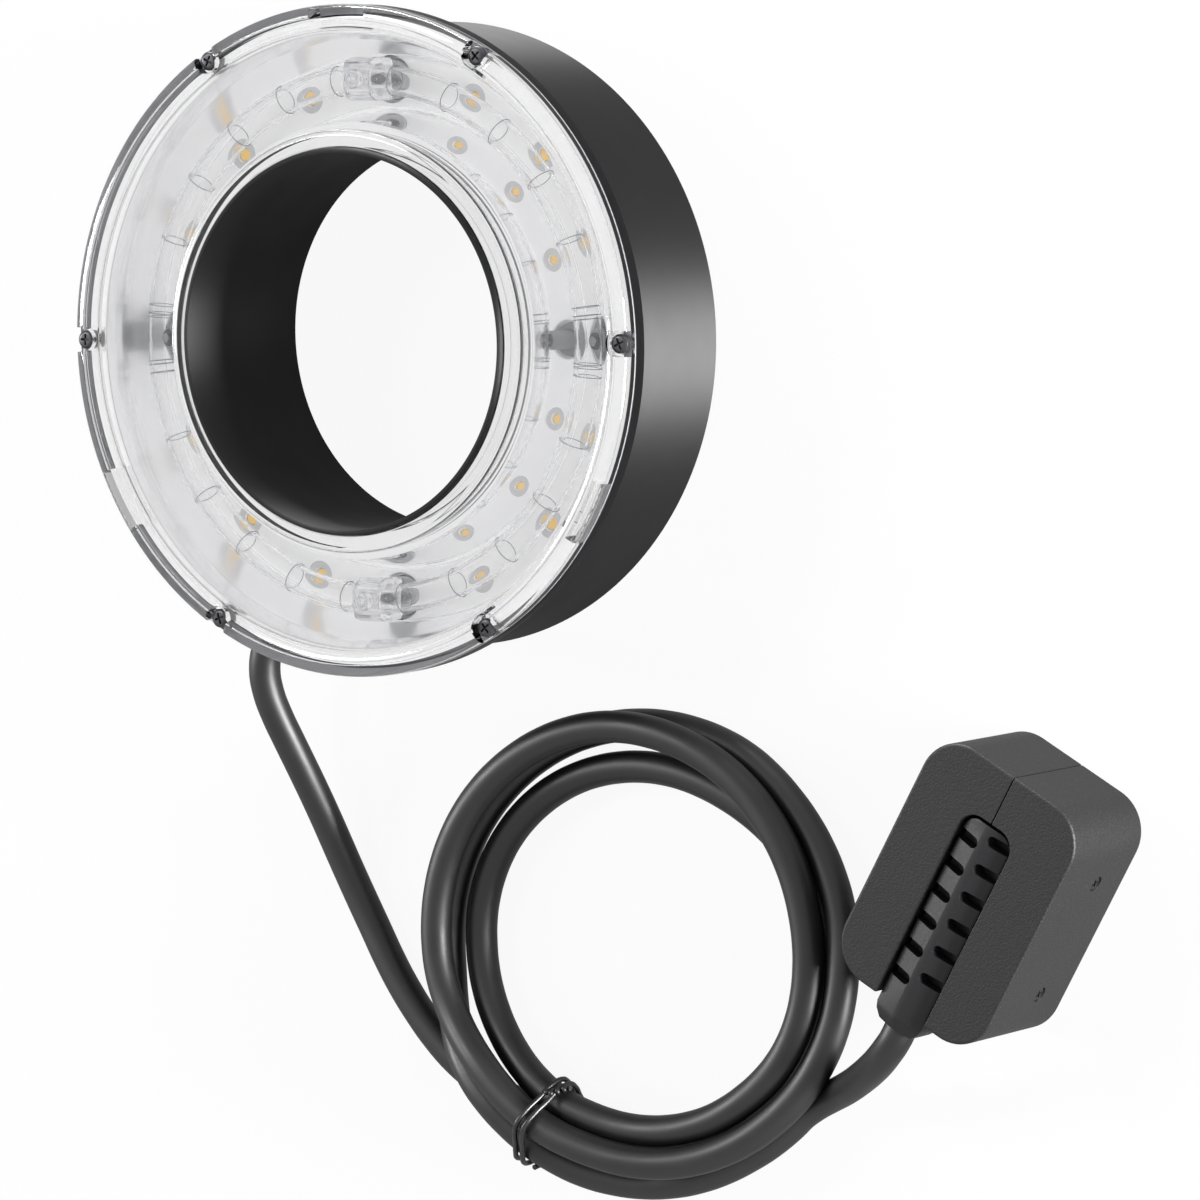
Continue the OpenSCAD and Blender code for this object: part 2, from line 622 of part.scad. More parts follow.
// Saddle that grips the lead below the deck, on two screws
module cord_clamp() {
    color("#2b2b2d") at_angle(tube_ring_r - 4, gland_angle, 0) difference() {
        translate([-5, -12, clamp_z]) cube([10, 24, deck_z - clamp_z]);
        translate([-6, 0, core_z]) rotate([0, 90, 0]) cylinder(d = core_d + fit, h = 12);
        for (y = [-8.5, 8.5]) translate([0, y, clamp_z - 1]) cylinder(d = 2.6, h = deck_z);
    }
}

module clamp_screws() {
    color("#8f9194") for (y = [-8.5, 8.5]) at_angle(tube_ring_r - 4, gland_angle, 0) translate([0, y, clamp_z])
        rotate([180, 0, 0]) pan_screw(4.6, 1.6, 2.4, deck_z - clamp_z - 0.4);
}

// Inner sheath of the lead, from the strain relief to the clamp inside the head
module cord_core() {
    color("#2f2f31") rotate([0, 0, gland_angle]) swept_tube([
        [gland_r - 3, 0, gland_z], [gland_inner_r, 0, gland_z], [gland_inner_r - 2.8, 0, 21.1],
        [gland_inner_r - 6.2, 0, 19.5], [gland_inner_r - 9.5, 0, core_z], [core_inner_r, 0, core_z]], core_d, 12);
}

module cord_lead() {
    color("#19191a") swept_tube(lead_path, cord_d, 8);
}

module cord_coil() {
    color("#19191a") swept_tube(coil_path, cord_d, form_sides);
}

module cord_tail() {
    color("#19191a") swept_tube(tail_path, cord_d, 8);
}

// Thin tie: two turns round the strands, as points of distance from the coil's middle and height
tie_loop = [
    [71.8, 13.9], [70.8, 16.8], [68.9, 18.8], [64.6, 22.2], [60.2, 25.8], [56.4, 27.4],
    [52.1, 25.4], [48.6, 21.9], [44.8, 18.8], [43.1, 14.4], [44.7, 10.1], [47.9, 6],
    [50.5, 2.9], [53.6, 0.9], [57.6, 0.9], [61.5, 1.9], [66.3, 4.9], [70.7, 8.9]];
function tie_point(i) =
    let (p = tie_loop[i % len(tie_loop)], along = (i / len(tie_loop) - tie_turns / 2) * tie_pitch,
        a = tie_angle + along * 180 / PI / p[0])
    [coil_x + coil_stretch[0] * p[0] * cos(a), coil_y + coil_stretch[1] * p[0] * sin(a), p[1]];
tie_path = [for (i = [0 : len(tie_loop) * tie_turns]) tie_point(i)];
module cord_tie() {
    color("#111112") swept_tube(tie_path, tie_d, form_sides, [-sin(tie_angle), cos(tie_angle), 0]);
}

module plug_place() {
    translate([plug_x, plug_y, 0]) rotate([0, 0, plug_turn]) children();
}

module rounded_plate(w, l, r, h) {
    linear_extrude(h) union() {
        square([w - 2 * r, l], center = true);
        square([w, l - 2 * r], center = true);
        for (x = [-1, 1]) for (y = [-1, 1]) translate([x * (w / 2 - r), y * (l / 2 - r)]) circle(r = r);
    }
}

// Whole outside of the plug, with a stepped edge round its outer face
module plug_outside() {
    rounded_plate(plug_w, plug_l, plug_corner_r, plug_h - plug_top_round);
    translate([0, 0, plug_h - plug_top_round - 0.01])
        rounded_plate(plug_w - 1, plug_l - 1, plug_corner_r - 0.5, plug_top_round * 0.55);
    translate([0, 0, plug_h - plug_top_round * 0.5])
        rounded_plate(plug_w - 2.4, plug_l - 2.4, plug_corner_r - 1.2, plug_top_round * 0.5);
}

module channel_cut(w, top_y, depth) {
    corner = 5;
    translate([0, 0, plug_h - depth]) linear_extrude(depth + 1) union() {
        translate([-w / 2, -plug_l]) square([w, plug_l + top_y - corner]);
        translate([-w / 2 + corner, top_y - corner - 1]) square([w - 2 * corner, corner + 1]);
        for (x = [-1, 1]) translate([x * (w / 2 - corner), top_y - corner]) circle(r = corner);
    }
}

module plug_walls() {
    difference() {
        plug_outside();
        difference() {
            translate([0, 0, -1]) rounded_plate(plug_w - 2 * plug_wall, plug_l - 2 * plug_wall,
                plug_corner_r - plug_wall, plug_h - plug_wall + 1);
            translate([-channel_w / 2 - 1.8, -plug_l, plug_h - boot_depth - rest_gap - 2])
                cube([channel_w + 3.6, plug_l + plug_l / 2 - channel_top + 1.8, boot_depth + 4]);
        }
        channel_cut(channel_w, plug_l / 2 - channel_top, boot_depth + rest_gap);
    }
}

module plug_half(side) {
    difference() {
        intersection() {
            plug_walls();
            translate([side > 0 ? shell_gap : -plug_w, -plug_l, -1]) cube([plug_w - shell_gap, 2 * plug_l, plug_h + 2]);
        }
        for (y = plug_screw_ys) translate([plug_w / 2, y, plug_screw_z]) rotate([0, 90, 0]) {
            translate([0, 0, -plug_screw_l]) cylinder(d = plug_screw_d, h = plug_screw_l + 1);
            translate([0, 0, -1.4]) cylinder(d = plug_screw_head_d + fit, h = 3);
        }
    }
}

module plug_shell_left() {
    color("#2a2a2b") plug_place() {
        plug_half(-1);
        plug_posts(-1);
    }
}

module plug_shell_right() {
    color("#2a2a2b") plug_place() {
        plug_half(1);
        plug_posts(1);
    }
}

// Screw posts inside the shells that meet at the seam
module plug_posts(side) {
    for (y = plug_screw_ys) translate([side * shell_gap, y, plug_screw_z]) rotate([0, side * 90, 0])
        difference() {
            cylinder(d = 6, h = plug_w / 2 - plug_wall - shell_gap + 0.2);
            translate([0, 0, -1]) cylinder(d = plug_screw_d, h = plug_w);
        }
}

module plug_screws() {
    color("#3c3d3f") plug_place() for (y = plug_screw_ys)
        translate([plug_w / 2 - 1.4, y, plug_screw_z]) rotate([0, 90, 0])
            pan_screw(plug_screw_head_d, 1.1, plug_screw_d - fit, plug_w / 2 + 12);
}

// Ribbed strain relief with a ridge along its middle and staggered slots down both sides
module plug_boot() {
    top_z = plug_h;
    side_z = plug_h - boot_edge_drop;
    low_z = plug_h - boot_depth;
    corner = 4;
    color("#1d1d1e") plug_place() difference() {
        union() {
            intersection() {
                translate([0, boot_top_y, 0]) rotate([90, 0, 0]) linear_extrude(boot_top_y - boot_body_y) polygon([
                    [-boot_w / 2, low_z], [boot_w / 2, low_z], [boot_w / 2, side_z], [0, top_z], [-boot_w / 2, side_z]]);
                channel_cut(boot_w, boot_top_y, boot_depth + 1);
            }
            translate([0, boot_body_y + 0.1, cord_z]) rotate([90, 0, 0])
                cylinder(d = boot_collar_d, h = boot_body_y - boot_end_y + 0.1);
        }
        for (k = [0 : boot_slots - 1]) for (side = [-1, 1]) {
            y = boot_slot_first_y - k * boot_slot_pitch + (side > 0 ? boot_slot_stagger : 0);
            translate([side * boot_slot_in, y - boot_slot_w / 2, top_z - boot_slot_depth])
                translate([side > 0 ? 0 : -boot_w, 0, 0]) cube([boot_w, boot_slot_w, boot_slot_depth + 1]);
            translate([side * boot_slot_in, y, top_z - boot_slot_depth])
                cylinder(d = boot_slot_w, h = boot_slot_depth + 1);
        }
    }
}

// Plate that closes the mating side, set back inside the shells' rim
module plug_base() {
    color("#232324") plug_place() difference() {
        translate([0, 0, base_recess]) rounded_plate(plug_w - 2 * plug_wall - 2 * fit,
            plug_l - 2 * plug_wall - 2 * fit, plug_corner_r - plug_wall - fit, base_t);
        translate([-contact_w / 2 - fit, -contact_l / 2 - fit, 0]) cube([contact_w + 2 * fit, contact_l + 2 * fit, 10]);
    }
}

module contact_block() {
    color("#3a3a3c") plug_place() difference() {
        translate([-contact_w / 2, -contact_l / 2, rest_gap]) cube([contact_w, contact_l, 9]);
        for (r = pin_rows) for (c = pin_cols) translate([r * pin_pitch / 1.6, c * pin_pitch, -1])
            cylinder(d = pin_d + 0.1, h = 12);
    }
}

module contact_pins() {
    color("#c9a24a") plug_place() for (r = pin_rows) for (c = pin_cols)
        translate([r * pin_pitch / 1.6, c * pin_pitch, 1.2]) difference() {
            cylinder(d = pin_d, h = 8.2 + rest_gap - 1.2 + 1);
            translate([0, 0, -1]) cylinder(d = 1.6, h = 6);
        }
}

module plug_board() {
    color("#1f5a38") plug_place() translate([-15, -22, 9 + rest_gap]) difference() {
        cube([30, 44, board_t]);
        for (r = pin_rows) for (c = pin_cols) translate([15 + r * pin_pitch / 1.6, 22 + c * pin_pitch, -1])
            cylinder(d = pin_d + 0.1, h = 4);
    }
}

outer_housing();
front_ring();
rear_cover();
rear_screws();
inner_sleeve();
front_cover();
cover_screws();
reflector();
flash_tube();
electrodes();
electrode_sleeves();
trigger_wire();
tube_clips();
clip_screws();
floor_bushes();
lamp_board();
lamps();
chassis();
trigger_board();
trigger_transformer();
trigger_capacitor();
cord_gland();
cord_clamp();
clamp_screws();
cord_core();
cord_lead();
cord_coil();
cord_tie();
cord_tail();
plug_boot();
plug_shell_left();
plug_shell_right();
plug_screws();
plug_base();
contact_block();
contact_pins();
plug_board();
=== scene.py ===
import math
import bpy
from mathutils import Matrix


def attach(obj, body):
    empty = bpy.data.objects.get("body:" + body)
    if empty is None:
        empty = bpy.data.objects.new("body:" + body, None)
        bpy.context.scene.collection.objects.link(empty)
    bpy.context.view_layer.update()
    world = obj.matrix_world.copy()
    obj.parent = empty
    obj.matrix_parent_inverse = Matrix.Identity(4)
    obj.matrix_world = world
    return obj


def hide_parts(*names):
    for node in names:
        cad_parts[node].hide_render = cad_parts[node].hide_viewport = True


bl_info = {
    "name": "Ring flash head",
    "version": (1, 0, 0),
    "blender": (4, 5, 0),
    "location": "View3D > Sidebar > Ring flash",
    "description": "Dresses the ring flash head, its tied lead and its plug",
    "category": "Add Mesh",
}

import bpy
from bpy.props import FloatProperty, FloatVectorProperty, IntProperty, PointerProperty
from mathutils import Matrix, Vector

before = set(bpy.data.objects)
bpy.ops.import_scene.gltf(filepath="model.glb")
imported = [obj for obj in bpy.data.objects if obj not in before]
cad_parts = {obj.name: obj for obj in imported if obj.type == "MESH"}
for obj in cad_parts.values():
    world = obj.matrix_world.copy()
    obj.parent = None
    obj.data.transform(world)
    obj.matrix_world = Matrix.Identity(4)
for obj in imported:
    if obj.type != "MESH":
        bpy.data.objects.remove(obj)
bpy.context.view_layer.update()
MM = 0.001
TURN = 2 * math.pi


# ---------------------------------------------------------------- sizes and colours


def length(name, text, default):
    """A length that a user can change."""
    return FloatProperty(name=name, description=text, default=default, unit="LENGTH")


def linear(code):
    """Linear RGBA of an sRGB hex colour."""
    parts = [int(code[i : i + 2], 16) / 255 for i in (1, 3, 5)]
    return tuple(c / 12.92 if c <= 0.04045 else ((c + 0.055) / 1.055) ** 2.4 for c in parts) + (1.0,)


def tint(name, code):
    """A colour that a user can change."""
    text = f"Colour of the {name.lower()}"
    return FloatVectorProperty(
        name=name, description=text, subtype="COLOR", size=4, min=0.0, max=1.0, default=linear(code)
    )


class HeadSizes(bpy.types.PropertyGroup):
    """Sizes of the ring-shaped head"""

    rim_radius: length("Rim radius", "Outer radius of the clear cover", 0.095)
    body_radius: length("Body radius", "Outer radius of the metal housing", 0.09)
    depth: length("Depth", "From the back face to the front of the cover", 0.056)
    bore_radius: length("Sleeve radius", "Inner radius of the lens sleeve at its lip", 0.0532)
    tube_ring: length("Tube circle", "Radius of the circle that the flash tube follows", 0.074)
    tube_diameter: length("Tube diameter", "Outside diameter of the glass", 0.0085)
    tube_height: length("Tube height", "Height of the tube above the back face", 0.04)
    steps: IntProperty(name="Steps", description="Facets round every turned piece", default=240, min=48)


class LeadSizes(bpy.types.PropertyGroup):
    """Sizes of the lead and its plug"""

    cord_diameter: length("Lead diameter", "Outside diameter of the rubber jacket", 0.00925)
    plug_width: length("Plug width", "Across the seam", 0.052)
    plug_length: length("Plug length", "Along the strain relief", 0.075)
    plug_height: length("Plug height", "From the contact side to the outer face", 0.038)


class HeadColours(bpy.types.PropertyGroup):
    """Colours of the finishes"""

    anodised: tint("Anodised housing", "#0a0a0b")
    collar: tint("Black collar", "#0b0b0c")
    sleeve: tint("Lens sleeve", "#0b0b0c")
    jacket: tint("Rubber jacket", "#101011")
    plug: tint("Plug shells", "#131314")
    silver: tint("Reflector", "#fafafb")
    phosphor: tint("Lamp phosphor", "#efc774")


# ---------------------------------------------------------------- named places, in millimetres and degrees

COVER_SCREW_CIRCLE = 92.0
REAR_SCREW_CIRCLE = 80.0
SCREWS_ROUND = 6
# Places round the tube's circle: every fourth one is a stem or a clip, the others are lamps
STATIONS = 16
SLOT_MIDDLES = (90.0, 210.0, 330.0)
SLOT_HALF_ANGLE = 5.8
FLOOR_TOP = 28.0
GLASS_WALL = 1.0
TRIGGER_HOOPS = 24
# Height of the back end of the stem sleeves, the clip posts and the bushes
FLOOR_FOOT = 24.4
PLUG_WALL = 2.2
HALF_SEAM = 0.12
PLUG_SCREW_ROWS = (17.0, -19.0)
PLUG_SCREW_HEIGHT = 16.0
# The boot's slots: how many on each side, from one to the next, and how far one side is ahead of the other
BOOT_SLOTS = 6
BOOT_SLOT_STEP = 8.8
BOOT_SLOT_STAGGER = 3.2

# The camera as fitted to the photograph: lens and film in millimetres, place in metres, and its three axes
CAMERA_LENS = 200.46
FILM_WIDTH = 36.0
CAMERA_PLACE = (1.089156, 0.068445, 1.595806)
CAMERA_RIGHT = (0.83834944, -0.01586748, -0.54490223)
CAMERA_UP = (-0.02784941, 0.99702438, -0.07188043)
CAMERA_BACK = (0.54442137, 0.07543612, 0.83541293)
# The stage floor's size, and how far it lies under the part, in metres
FLOOR_SIZE = 12
FLOOR_GAP = 0.0002
LAMP_TARGET = (0.04, -0.05, 0.02)
# Name, direction and rise in degrees, distance, width and height in metres, light on a surface that faces it
LAMPS = (
    ("strip_right", -4, 5, 1.4, 0.8, 0.3, 13.0),
    ("glow_right", -8, 25, 1.6, 0.3, 0.3, 0.4),
    ("strip_back", 108, 5, 1.4, 0.8, 0.3, 6.0),
    ("key_left", 175, 28, 1.6, 0.3, 0.5, 1.5),
    ("key_top", 148, 50, 1.6, 0.4, 0.4, 1.0),
)


# ---------------------------------------------------------------- modelling helpers


def choose(*pieces):
    """Leaves only these pieces selected, the first one active."""
    bpy.ops.object.select_all(action="DESELECT")
    for piece in pieces:
        piece.select_set(True)
    bpy.context.view_layer.objects.active = pieces[0]


def polar(radius, angle, height=0.0):
    """A place round the lens axis. The angle is in radians."""
    return (radius * math.cos(angle), radius * math.sin(angle), height)


def outline(name, corners):
    """A closed line of edges through the corners, in millimetres."""
    bpy.ops.object.select_all(action="DESELECT")
    bpy.ops.mesh.primitive_circle_add(vertices=len(corners), radius=1)
    piece = bpy.context.object
    piece.name = name
    for vertex, corner in zip(piece.data.vertices, corners):
        vertex.co = Vector(corner) * MM
    return piece


def edit_all(piece):
    choose(piece)
    bpy.ops.object.mode_set(mode="EDIT")
    bpy.ops.mesh.select_all(action="SELECT")


def close_edit():
    """Merges doubles, turns the faces outwards and leaves edit mode."""
    bpy.ops.mesh.select_all(action="SELECT")
    bpy.ops.mesh.remove_doubles(threshold=1e-7)
    bpy.ops.mesh.normals_make_consistent(inside=False)
    bpy.ops.object.mode_set(mode="OBJECT")


def turned(name, profile, steps=None, angle=TURN, start=0.0):
    """A piece turned round the lens axis. The profile is a closed line of (radius, height) in millimetres.

    Less than a whole turn runs clockwise from the start.
    """
    piece = outline(name, [polar(r, start, z) for r, z in profile])
    edit_all(piece)
    steps = steps or bpy.context.scene.head_sizes.steps
    bpy.ops.mesh.spin(steps=steps, angle=angle, center=(0, 0, 0), axis=(0, 0, 1))
    close_edit()
    return piece


def arc(middle, radius, start, end, count):
    """Points on an arc, both ends included. Angles are in degrees."""
    angles = [math.radians(start + (end - start) * i / count) for i in range(count + 1)]
    return [(middle[0] + radius * math.cos(a), middle[1] + radius * math.sin(a)) for a in angles]


def rounded(width, length, radius, steps):
    """Corners of a rounded rectangle round the origin."""
    corners = []
    for sx, sy, start in ((1, 1, 0), (-1, 1, 90), (-1, -1, 180), (1, -1, 270)):
        corners += arc((sx * (width / 2 - radius), sy * (length / 2 - radius)), radius, start, start + 90, steps)
    return corners


def filled(name, corners, way):
    """A flat outline, filled and drawn out. Its corners and the way are in millimetres."""
    piece = outline(name, corners)
    edit_all(piece)
    bpy.ops.mesh.edge_face_add()
    bpy.ops.mesh.extrude_region_move(TRANSFORM_OT_translate={"value": [v * MM for v in way]})
    close_edit()
    return piece


def raised(name, corners, low, high):
    """An outline in X and Y, drawn out from one height to another."""
    return filled(name, [(x, y, low) for x, y in corners], (0, 0, high - low))


def drawn(name, corners, start, end):
    """An outline in X and Z, drawn out along Y."""
    return filled(name, [(x, start, z) for x, z in corners], (0, end - start, 0))


def primitive(name, add, **values):
    """A new primitive from one of the adding operators, with its place put into its mesh."""
    bpy.ops.object.select_all(action="DESELECT")
    add(**values)
    piece = bpy.context.object
    piece.name = name
    choose(piece)
    bpy.ops.object.transform_apply(location=True, rotation=True, scale=True)
    return piece


def rod(name, radius, low, high, place=(0, 0), sides=48, top=None):
    """An upright rod at a place round the axis, in millimetres. A top radius makes it taper."""
    return primitive(
        name,
        bpy.ops.mesh.primitive_cone_add,
        vertices=sides,
        radius1=radius * MM,
        radius2=(radius if top is None else top) * MM,
        depth=(high - low) * MM,
        location=[v * MM for v in polar(*place, (low + high) / 2)],
    )


def block(name, size, place, turn=0.0):
    """A box of a size, centred on a place, in millimetres."""
    place, size = [v * MM for v in place], [v * MM for v in size]
    add = bpy.ops.mesh.primitive_cube_add
    return primitive(name, add, size=1, location=place, rotation=(0, 0, turn), scale=size)


def donut(name, ring, tube, height, place=None, ring_steps=288, tube_steps=48):
    """A ring of round section, flat round the axis, or standing up at a place (radius, angle)."""
    return primitive(
        name,
        bpy.ops.mesh.primitive_torus_add,
        location=[v * MM for v in polar(*(place or (0, 0)), height)],
        rotation=(math.pi / 2, 0, place[1]) if place else (0, 0, 0),
        major_segments=ring_steps,
        minor_segments=tube_steps,
        major_radius=ring * MM,
        minor_radius=tube * MM,
    )


def joined(name, pieces):
    """Several pieces as one."""
    choose(*pieces)
    if len(pieces) > 1:
        bpy.ops.object.join()
    pieces[0].name = name
    return pieces[0]


def combine(piece, tool, operation="DIFFERENCE"):
    """Cuts the tool from the piece, or adds it, and removes the tool."""
    choose(piece)
    bpy.ops.object.modifier_add(type="BOOLEAN")
    modifier = piece.modifiers[-1]
    modifier.operation = operation
    modifier.solver = "EXACT"
    modifier.object = tool
    bpy.ops.object.modifier_apply(modifier=modifier.name)
    bpy.data.objects.remove(tool)
    return piece


def round_edges(piece, width, segments, angle=35):
    """Bevels every edge sharper than the angle. The width is in millimetres."""
    choose(piece)
    bpy.ops.object.modifier_add(type="BEVEL")
    modifier = piece.modifiers[-1]
    modifier.width = width * MM
    modifier.segments = segments
    modifier.limit_method = "ANGLE"
    modifier.angle_limit = math.radians(angle)
    bpy.ops.object.modifier_apply(modifier=modifier.name)
    return piece


def shifted(piece, x, y=0.0, z=0.0):
    """Moves a piece, in millimetres."""
    piece.data.transform(Matrix.Translation(Vector((x, y, z)) * MM))
    return piece


def spun(piece, angle):
    """Turns a piece round the lens axis, in radians."""
    piece.data.transform(Matrix.Rotation(angle, 4, "Z"))
    return piece


def laid(piece, y=0.0, z=0.0):
    """Lays an upright piece along X, at a place in millimetres."""
    piece.data.transform(Matrix.Translation(Vector((0, y, z)) * MM) @ Matrix.Rotation(math.pi / 2, 4, "Y"))
    return piece


def pulled(piece, picked, steps, centre=(0, 0, 0)):
    """Draws the picked faces out, in steps of a way in millimetres and a scale about the centre."""
    edit_all(piece)
    bpy.ops.mesh.select_all(action="DESELECT")
    bpy.ops.object.mode_set(mode="OBJECT")
    for face in piece.data.polygons:
        face.select = picked(face)
    bpy.ops.object.mode_set(mode="EDIT")
    for way, scale in steps:
        bpy.ops.mesh.extrude_region_move(TRANSFORM_OT_translate={"value": [v * MM for v in way]})
        bpy.ops.transform.resize(value=scale, center_override=[v * MM for v in centre])
    bpy.ops.object.mode_set(mode="OBJECT")


def cross_cut(head, size, height, turn=0.0):
    """Cuts a cross recess into a screw's head. The size is one arm's length, width and depth."""
    arms = [block("arm", size, (0, 0, height), turn + t) for t in (0, math.pi / 2)]
    combine(arms[0], arms[1], "UNION")
    return combine(head, arms[0])


def on_circle(piece, twist, circle, angle):
    """Twists a piece about its own axis and sets it on a circle round the lens axis."""
    return shifted(spun(piece, twist), *polar(circle, angle))


def screw_holes(piece, radius, low, high, circle=COVER_SCREW_CIRCLE, first=0.0, sides=24):
    """Cuts a circle of six screw holes."""
    spots = [(circle, first + k * TURN / SCREWS_ROUND) for k in range(SCREWS_ROUND)]
    return combine(piece, joined("holes", [rod("hole", radius, low, high, spot, sides=sides) for spot in spots]))


def tube_sizes(scene):
    """Circle, height and radius of the glass tube, in millimetres."""
    sizes = scene.head_sizes
    return sizes.tube_ring / MM, sizes.tube_height / MM, sizes.tube_diameter / MM / 2


def copied(piece, turns, name):
    """Copies of a piece turned about the lens axis, joined with it. Turns are in radians."""
    pieces = []
    for turn in turns:
        choose(piece)
        bpy.ops.object.duplicate()
        pieces.append(spun(bpy.context.object, turn))
    bpy.data.objects.remove(piece)
    return joined(name, pieces)


def place_plug(piece):
    """Moves a piece from the plug's own frame, in millimetres, to its place beside the coil."""
    piece.data.transform(Matrix.Translation(Vector(PLUG_PLACE) * MM) @ Matrix.Rotation(PLUG_TURN, 4, "Z"))
    return piece


def finish(piece, material, slot, *nodes, smooth=35):
    """Gives the piece its material and its body, and hides the CAD nodes that it stands for. The slot is not used."""
    choose(piece)
    bpy.ops.object.shade_smooth_by_angle(angle=math.radians(smooth))
    bpy.ops.object.modifier_add(type="WEIGHTED_NORMAL")
    piece.modifiers[-1].keep_sharp = True
    bpy.ops.object.modifier_apply(modifier=piece.modifiers[-1].name)
    piece.data.materials.clear()
    piece.data.materials.append(material)
    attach(piece, "root")
    if nodes:
        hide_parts(*nodes)
    return piece


# ---------------------------------------------------------------- materials


def node(tree, kind, sources=None, **settings):
    """Adds a node, sets its properties, and fills its inputs with values or links."""
    made = tree.nodes.new(kind)
    for key, value in settings.items():
        setattr(made, key, value)
    for key, value in (sources or {}).items():
        if isinstance(value, bpy.types.NodeSocket):
            tree.links.new(value, made.inputs[key])
        else:
            made.inputs[key].default_value = value
    return made


def material(name, **values):
    """A new material with one Principled shader, its tree and the shader. A level sets its specular level."""
    if "level" in values:
        values["Specular IOR Level"] = values.pop("level")
    made = bpy.data.materials.new(name)
    made.use_nodes = True
    tree = made.node_tree
    tree.nodes.clear()
    out = node(tree, "ShaderNodeOutputMaterial")
    shader = node(tree, "ShaderNodeBsdfPrincipled", values)
    tree.links.new(shader.outputs[0], out.inputs["Surface"])
    return made, tree, shader


def grain(tree, size, detail=3.0):
    """Noise between 0 and 1 on Object coordinates, its grains about size millimetres across."""
    place = node(tree, "ShaderNodeTexCoord").outputs["Object"]
    noise = {"Vector": place, "Scale": 1 / (size * MM), "Detail": detail, "Roughness": 0.55}
    return node(tree, "ShaderNodeTexNoise", noise).outputs["Fac"]


def bumpy(tree, shader, height, depth, strength):
    """Bump of a depth in millimetres from a height between 0 and 1."""
    lift = node(tree, "ShaderNodeBump", {"Height": height, "Strength": strength, "Distance": depth * MM})
    tree.links.new(lift.outputs[0], shader.inputs["Normal"])


def spread(tree, value, low, high, from_low=0.3, from_high=0.7):
    """A value stretched from one range to another."""
    limits = {"Value": value, "From Min": from_low, "From Max": from_high, "To Min": low, "To Max": high}
    return node(tree, "ShaderNodeMapRange", limits).outputs["Result"]


def shaded(tree, factor, dark, light):
    """A colour between two, picked by a factor."""
    return node(tree, "ShaderNodeMix", {"Factor": factor, "A": dark, "B": light}, data_type="RGBA").outputs["Result"]


def scaled(colour, factor):
    """A darker or paler colour."""
    return tuple(min(1.0, c * factor) for c in colour[:3]) + (1.0,)


def surfaced(tree, shader, colour, tone, dark, light, shine, rough):
    """Links a colour that the tone pattern darkens or pales, and a roughness that the shine pattern spreads."""
    tree.links.new(shaded(tree, tone, scaled(colour, dark), scaled(colour, light)), shader.inputs["Base Color"])
    tree.links.new(spread(tree, shine, *rough), shader.inputs["Roughness"])


def ramp(tree, factor, stops):
    """A grey ramp through stops of a place and a value."""
    made = node(tree, "ShaderNodeValToRGB", {"Fac": factor})
    elements = made.color_ramp.elements
    for spot, _ in stops[2:]:
        elements.new(spot)
    for element, (spot, value) in zip(sorted(elements, key=lambda e: e.position), stops):
        element.position = spot
        element.color = (value, value, value, 1)
    return made.outputs["Color"]


def shows_background(tree):
    """1 for a ray from the camera, or from it by way of metal or glass, and 0 for light on the object."""
    ray = node(tree, "ShaderNodeLightPath")
    direct = {0: ray.outputs["Is Camera Ray"], 1: ray.outputs["Is Glossy Ray"]}
    direct = node(tree, "ShaderNodeMath", direct, operation="MAXIMUM")
    either = {0: direct.outputs[0], 1: ray.outputs["Is Transmission Ray"]}
    return ray, node(tree, "ShaderNodeMath", either, operation="MAXIMUM").outputs[0]


def anodised_aluminium(name, colour, rough, level, smear):
    """Turned, blasted and black anodised: dark, with light smeared along the axis and a fine sparkle."""
    made, tree, shader = material(name, IOR=1.5, Anisotropic=smear, level=level)
    fine, broad = grain(tree, 0.35, 4), grain(tree, 18, 2)
    tone = spread(tree, fine, 0, 1, 0.25, 0.75)
    surfaced(tree, shader, colour, tone, 0.8, 1.2, broad, (rough * 0.95, rough * 1.05))
    bumpy(tree, shader, fine, 0.01, 0.5)
    shader.inputs["Anisotropic Rotation"].default_value = 0.25
    along = node(tree, "ShaderNodeTangent", direction_type="RADIAL", axis="Z")
    tree.links.new(along.outputs[0], shader.inputs["Tangent"])
    return made


def gloss_black(colour):
    """Polished black polycarbonate: dark, with a clean sheen, and a painted grey sheen on the top face under the clear
    rim, for the light that the rim shows there.
    """
    made, tree, shader = material("polished_black_polycarbonate_painted_rim_sheen", IOR=1.55, level=0.08)
    waves = grain(tree, 6, 1.5)
    tree.links.new(spread(tree, waves, 0.3, 0.4), shader.inputs["Roughness"])
    body = shaded(tree, waves, scaled(colour, 0.8), scaled(colour, 1.3))
    # Painted sheen: a height mask paints the top face grey, for the light seen in the clear rim over it
    place = node(tree, "ShaderNodeTexCoord").outputs["Object"]
    height = node(tree, "ShaderNodeSeparateXYZ", {"Vector": place}).outputs["Z"]
    top = spread(tree, height, 0, 1, 0.0496, 0.0499)
    tree.links.new(shaded(tree, top, body, linear("#858589")), shader.inputs["Base Color"])
    bumpy(tree, shader, waves, 0.01, 0.3)
    return made


def satin_black(name, colour, size, depth, rough=(0.4, 0.55), level=0.3):
    """Moulded black plastic with an eroded texture of the given grain size."""
    made, tree, shader = material(name, IOR=1.5, level=level)
    fine = grain(tree, size, 2.5)
    surfaced(tree, shader, colour, grain(tree, size * 40, 2), 0.88, 1.12, fine, rough)
    bumpy(tree, shader, fine, depth, 0.7)
    return made


def rubber(name, colour, rough=(0.4, 0.5)):
    """Extruded soft PVC: satin, with faint drawing lines and a little dust in its sheen."""
    made, tree, shader = material(name, IOR=1.5, level=0.6)
    broad = grain(tree, 14, 2)
    surfaced(tree, shader, colour, broad, 0.85, 1.2, broad, rough)
    bumpy(tree, shader, grain(tree, 0.5), 0.012, 0.5)
    return made


